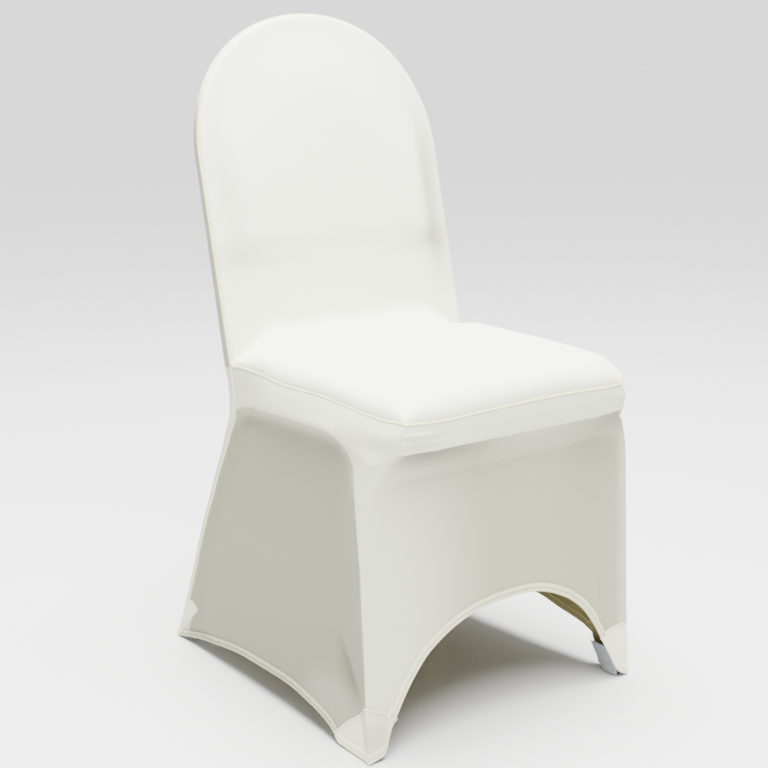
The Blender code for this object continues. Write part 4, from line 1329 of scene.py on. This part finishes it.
# Camera: turn, tilt and roll in degrees, then its aim's height, distance and focal length in pixels
CAMERA_TURN = (-36.37358, 12.52360, -0.62244)
CAMERA_HEIGHT = 0.41231
CAMERA_REACH = 2.10779
CAMERA_FOCUS = 1473.534
PHOTO_WIDTH, SENSOR = 768.0, 36.0
FLOOR_REACH = 60.0
# Light of the surroundings, overhead and at the horizon
WORLD, HORIZON = 0.70, 1.90
LAMPS = (
    # name, kind, place, aim, power, width (metres, or degrees for the even light)
    ("key", "AREA", (-0.50, -1.15, 2.00), (0.0, 0.0, 0.60), 74.0, 1.1),
    ("top", "AREA", (0.10, 0.20, 3.20), (0.0, 0.0, 0.40), 440.0, 2.6),
    ("even", "SUN", (0.0, -0.20, 3.00), (0.0, 0.0, 0.0), 6.0, 40.0),
)


def studio():
    """Pale floor, soft light and the photograph's camera."""
    scene = bpy.context.scene
    floor = bpy.data.meshes.new("floor")
    low, far = -HOOK[2] - 0.0012, FLOOR_REACH
    corners = [(-far, -far, low), (far, -far, low), (far, far, low), (-far, far, low)]
    floor.from_pydata(corners, [], [(0, 1, 2, 3)])
    look, _, _ = new_look("floor", {"Base Color": (0.72, 0.72, 0.715, 1.0), "Roughness": 0.9})
    floor.materials.append(look)
    ground = bpy.data.objects.new("floor", floor)
    scene.collection.objects.link(ground)
    world = bpy.data.worlds.new("studio")
    world.use_nodes = True
    tree = world.node_tree
    where = wire(tree, "TexCoord", {})["Generated"]
    height = wire(tree, "SeparateXYZ", {"Vector": where})["Z"]
    strength = ramp(tree, height, HORIZON, WORLD, span=(0.03, 0.22))
    wire(tree, tree.nodes["Background"], {"Color": (1.0, 1.0, 1.0, 1.0), "Strength": strength})
    scene.world = world
    for name, kind, place, aim, power, size in LAMPS:
        data = bpy.data.lights.new(name, kind)
        data.energy = power
        if kind == "AREA":
            data.shape = "DISK"
            data.size = size
        else:
            data.angle = math.radians(size)
        lamp = bpy.data.objects.new(name, data)
        lamp.location = Vector(place) - Vector(HOOK)
        lamp.rotation_euler = (Vector(place) - Vector(aim)).to_track_quat("Z", "Y").to_euler()
        scene.collection.objects.link(lamp)
    turn, tilt, roll = (math.radians(value) for value in CAMERA_TURN)
    back = Vector((math.sin(turn) * math.cos(tilt), -math.cos(turn) * math.cos(tilt), math.sin(tilt)))
    right = (-back).cross(Vector((0.0, 0.0, 1.0))).normalized()
    up = right.cross(-back)
    side = right * math.cos(roll) + up * math.sin(roll)
    rise = up * math.cos(roll) - right * math.sin(roll)
    pose = Matrix((side, rise, back)).transposed().to_4x4()
    pose.translation = Vector((0.0, 0.0, CAMERA_HEIGHT)) + back * CAMERA_REACH - Vector(HOOK)
    data = bpy.data.cameras.new("camera")
    data.sensor_width = SENSOR
    data.lens = CAMERA_FOCUS * SENSOR / PHOTO_WIDTH
    camera = bpy.data.objects.new("camera", data)
    camera.matrix_world = pose
    scene.collection.objects.link(camera)
    scene.camera = camera


# Foot patches: upper edges as (column, height), and a crease as (y, z)
FRONT_LEFT_TOP = (
    (0.6, 0.0160), (4.0, 0.0370), (9.0, 0.0570), (15.0, 0.0750),
    (19.0, 0.0700), (23.0, 0.0620), (25.0, 0.0530), (26.5, 0.0470),
)
FRONT_RIGHT_TOP = (
    (0.5, 0.0640), (4.0, 0.0790), (9.0, 0.0800), (14.0, 0.0810), (20.0, 0.0660), (29.0, 0.0160),
)
FRONT_LEFT_CREASE = ((-0.2560, 0.0760), (-0.2620, 0.0480), (-0.2670, 0.0120))
# At the rear: heights of the upper and the lower edge at each column from the seam on
REAR_TOPS = (0.0706, 0.0700, 0.0660, 0.0610)
REAR_FOOTS = (0.0010, 0.0260, 0.0430, 0.0560)


def add_patches(cloth, columns):
    """The four foot patches."""
    left, right = SEAT_ROWS, len(columns) - 1 - SEAT_ROWS
    run = columns[left - 15 : left + 13]
    made = [foot_patch("foot_patch_front_left", cloth, run, FRONT_LEFT_TOP, (FRONT_LEFT_CREASE,))]
    run = columns[right - 14 : right + 17]
    made.append(foot_patch("foot_patch_front_right", cloth, run, FRONT_RIGHT_TOP))
    for node, side in (("foot_patch_rear_left", -1), ("foot_patch_rear_right", 1)):
        rear = rear_columns(cloth, side)
        seam = len(rear) - 1.0
        run = rear + (columns[1:5] if side < 0 else columns[-5:-1][::-1])
        tops = ((0.0, 0.0520),) + tuple((seam + n, height) for n, height in enumerate(REAR_TOPS))
        foots = tuple((seam + n, height) for n, height in enumerate(REAR_FOOTS))
        if side > 0:
            end = len(run) - 1.0
            run = run[::-1]
            tops, foots = (
                tuple((end - at, height) for at, height in rows[::-1]) for rows in (tops, foots)
            )
        made.append(foot_patch(node, cloth, run, tops, (), foots))
    return made


def main():
    """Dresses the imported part."""
    cloth = Cloth()
    front_panel(cloth)
    columns = skirt(cloth)
    rear_panel(cloth)
    cloth.settle()
    panels = []
    for panel, faces in cloth.panels.items():
        flat = {n: cloth.flat[(panel, n)] for face in faces for n in face}
        sheet = (cloth.places, cloth.out, faces, flat, cloth.tints)
        panels.append(sheet_body(panel, *sheet, (OUTSIDE, INSIDE), CLOTH, "ivory_knit"))
    add_seams(cloth)
    add_hem_stitches(cloth, columns)
    patches = add_patches(cloth, columns)
    for where, *rest in FEET:
        declare(foot_pocket("foot_pocket_" + where, *rest), 1.0)
    for body in patches:
        declare(body, 1.0)
    for body in panels:
        declare(body, STRETCH)
    studio()


main()
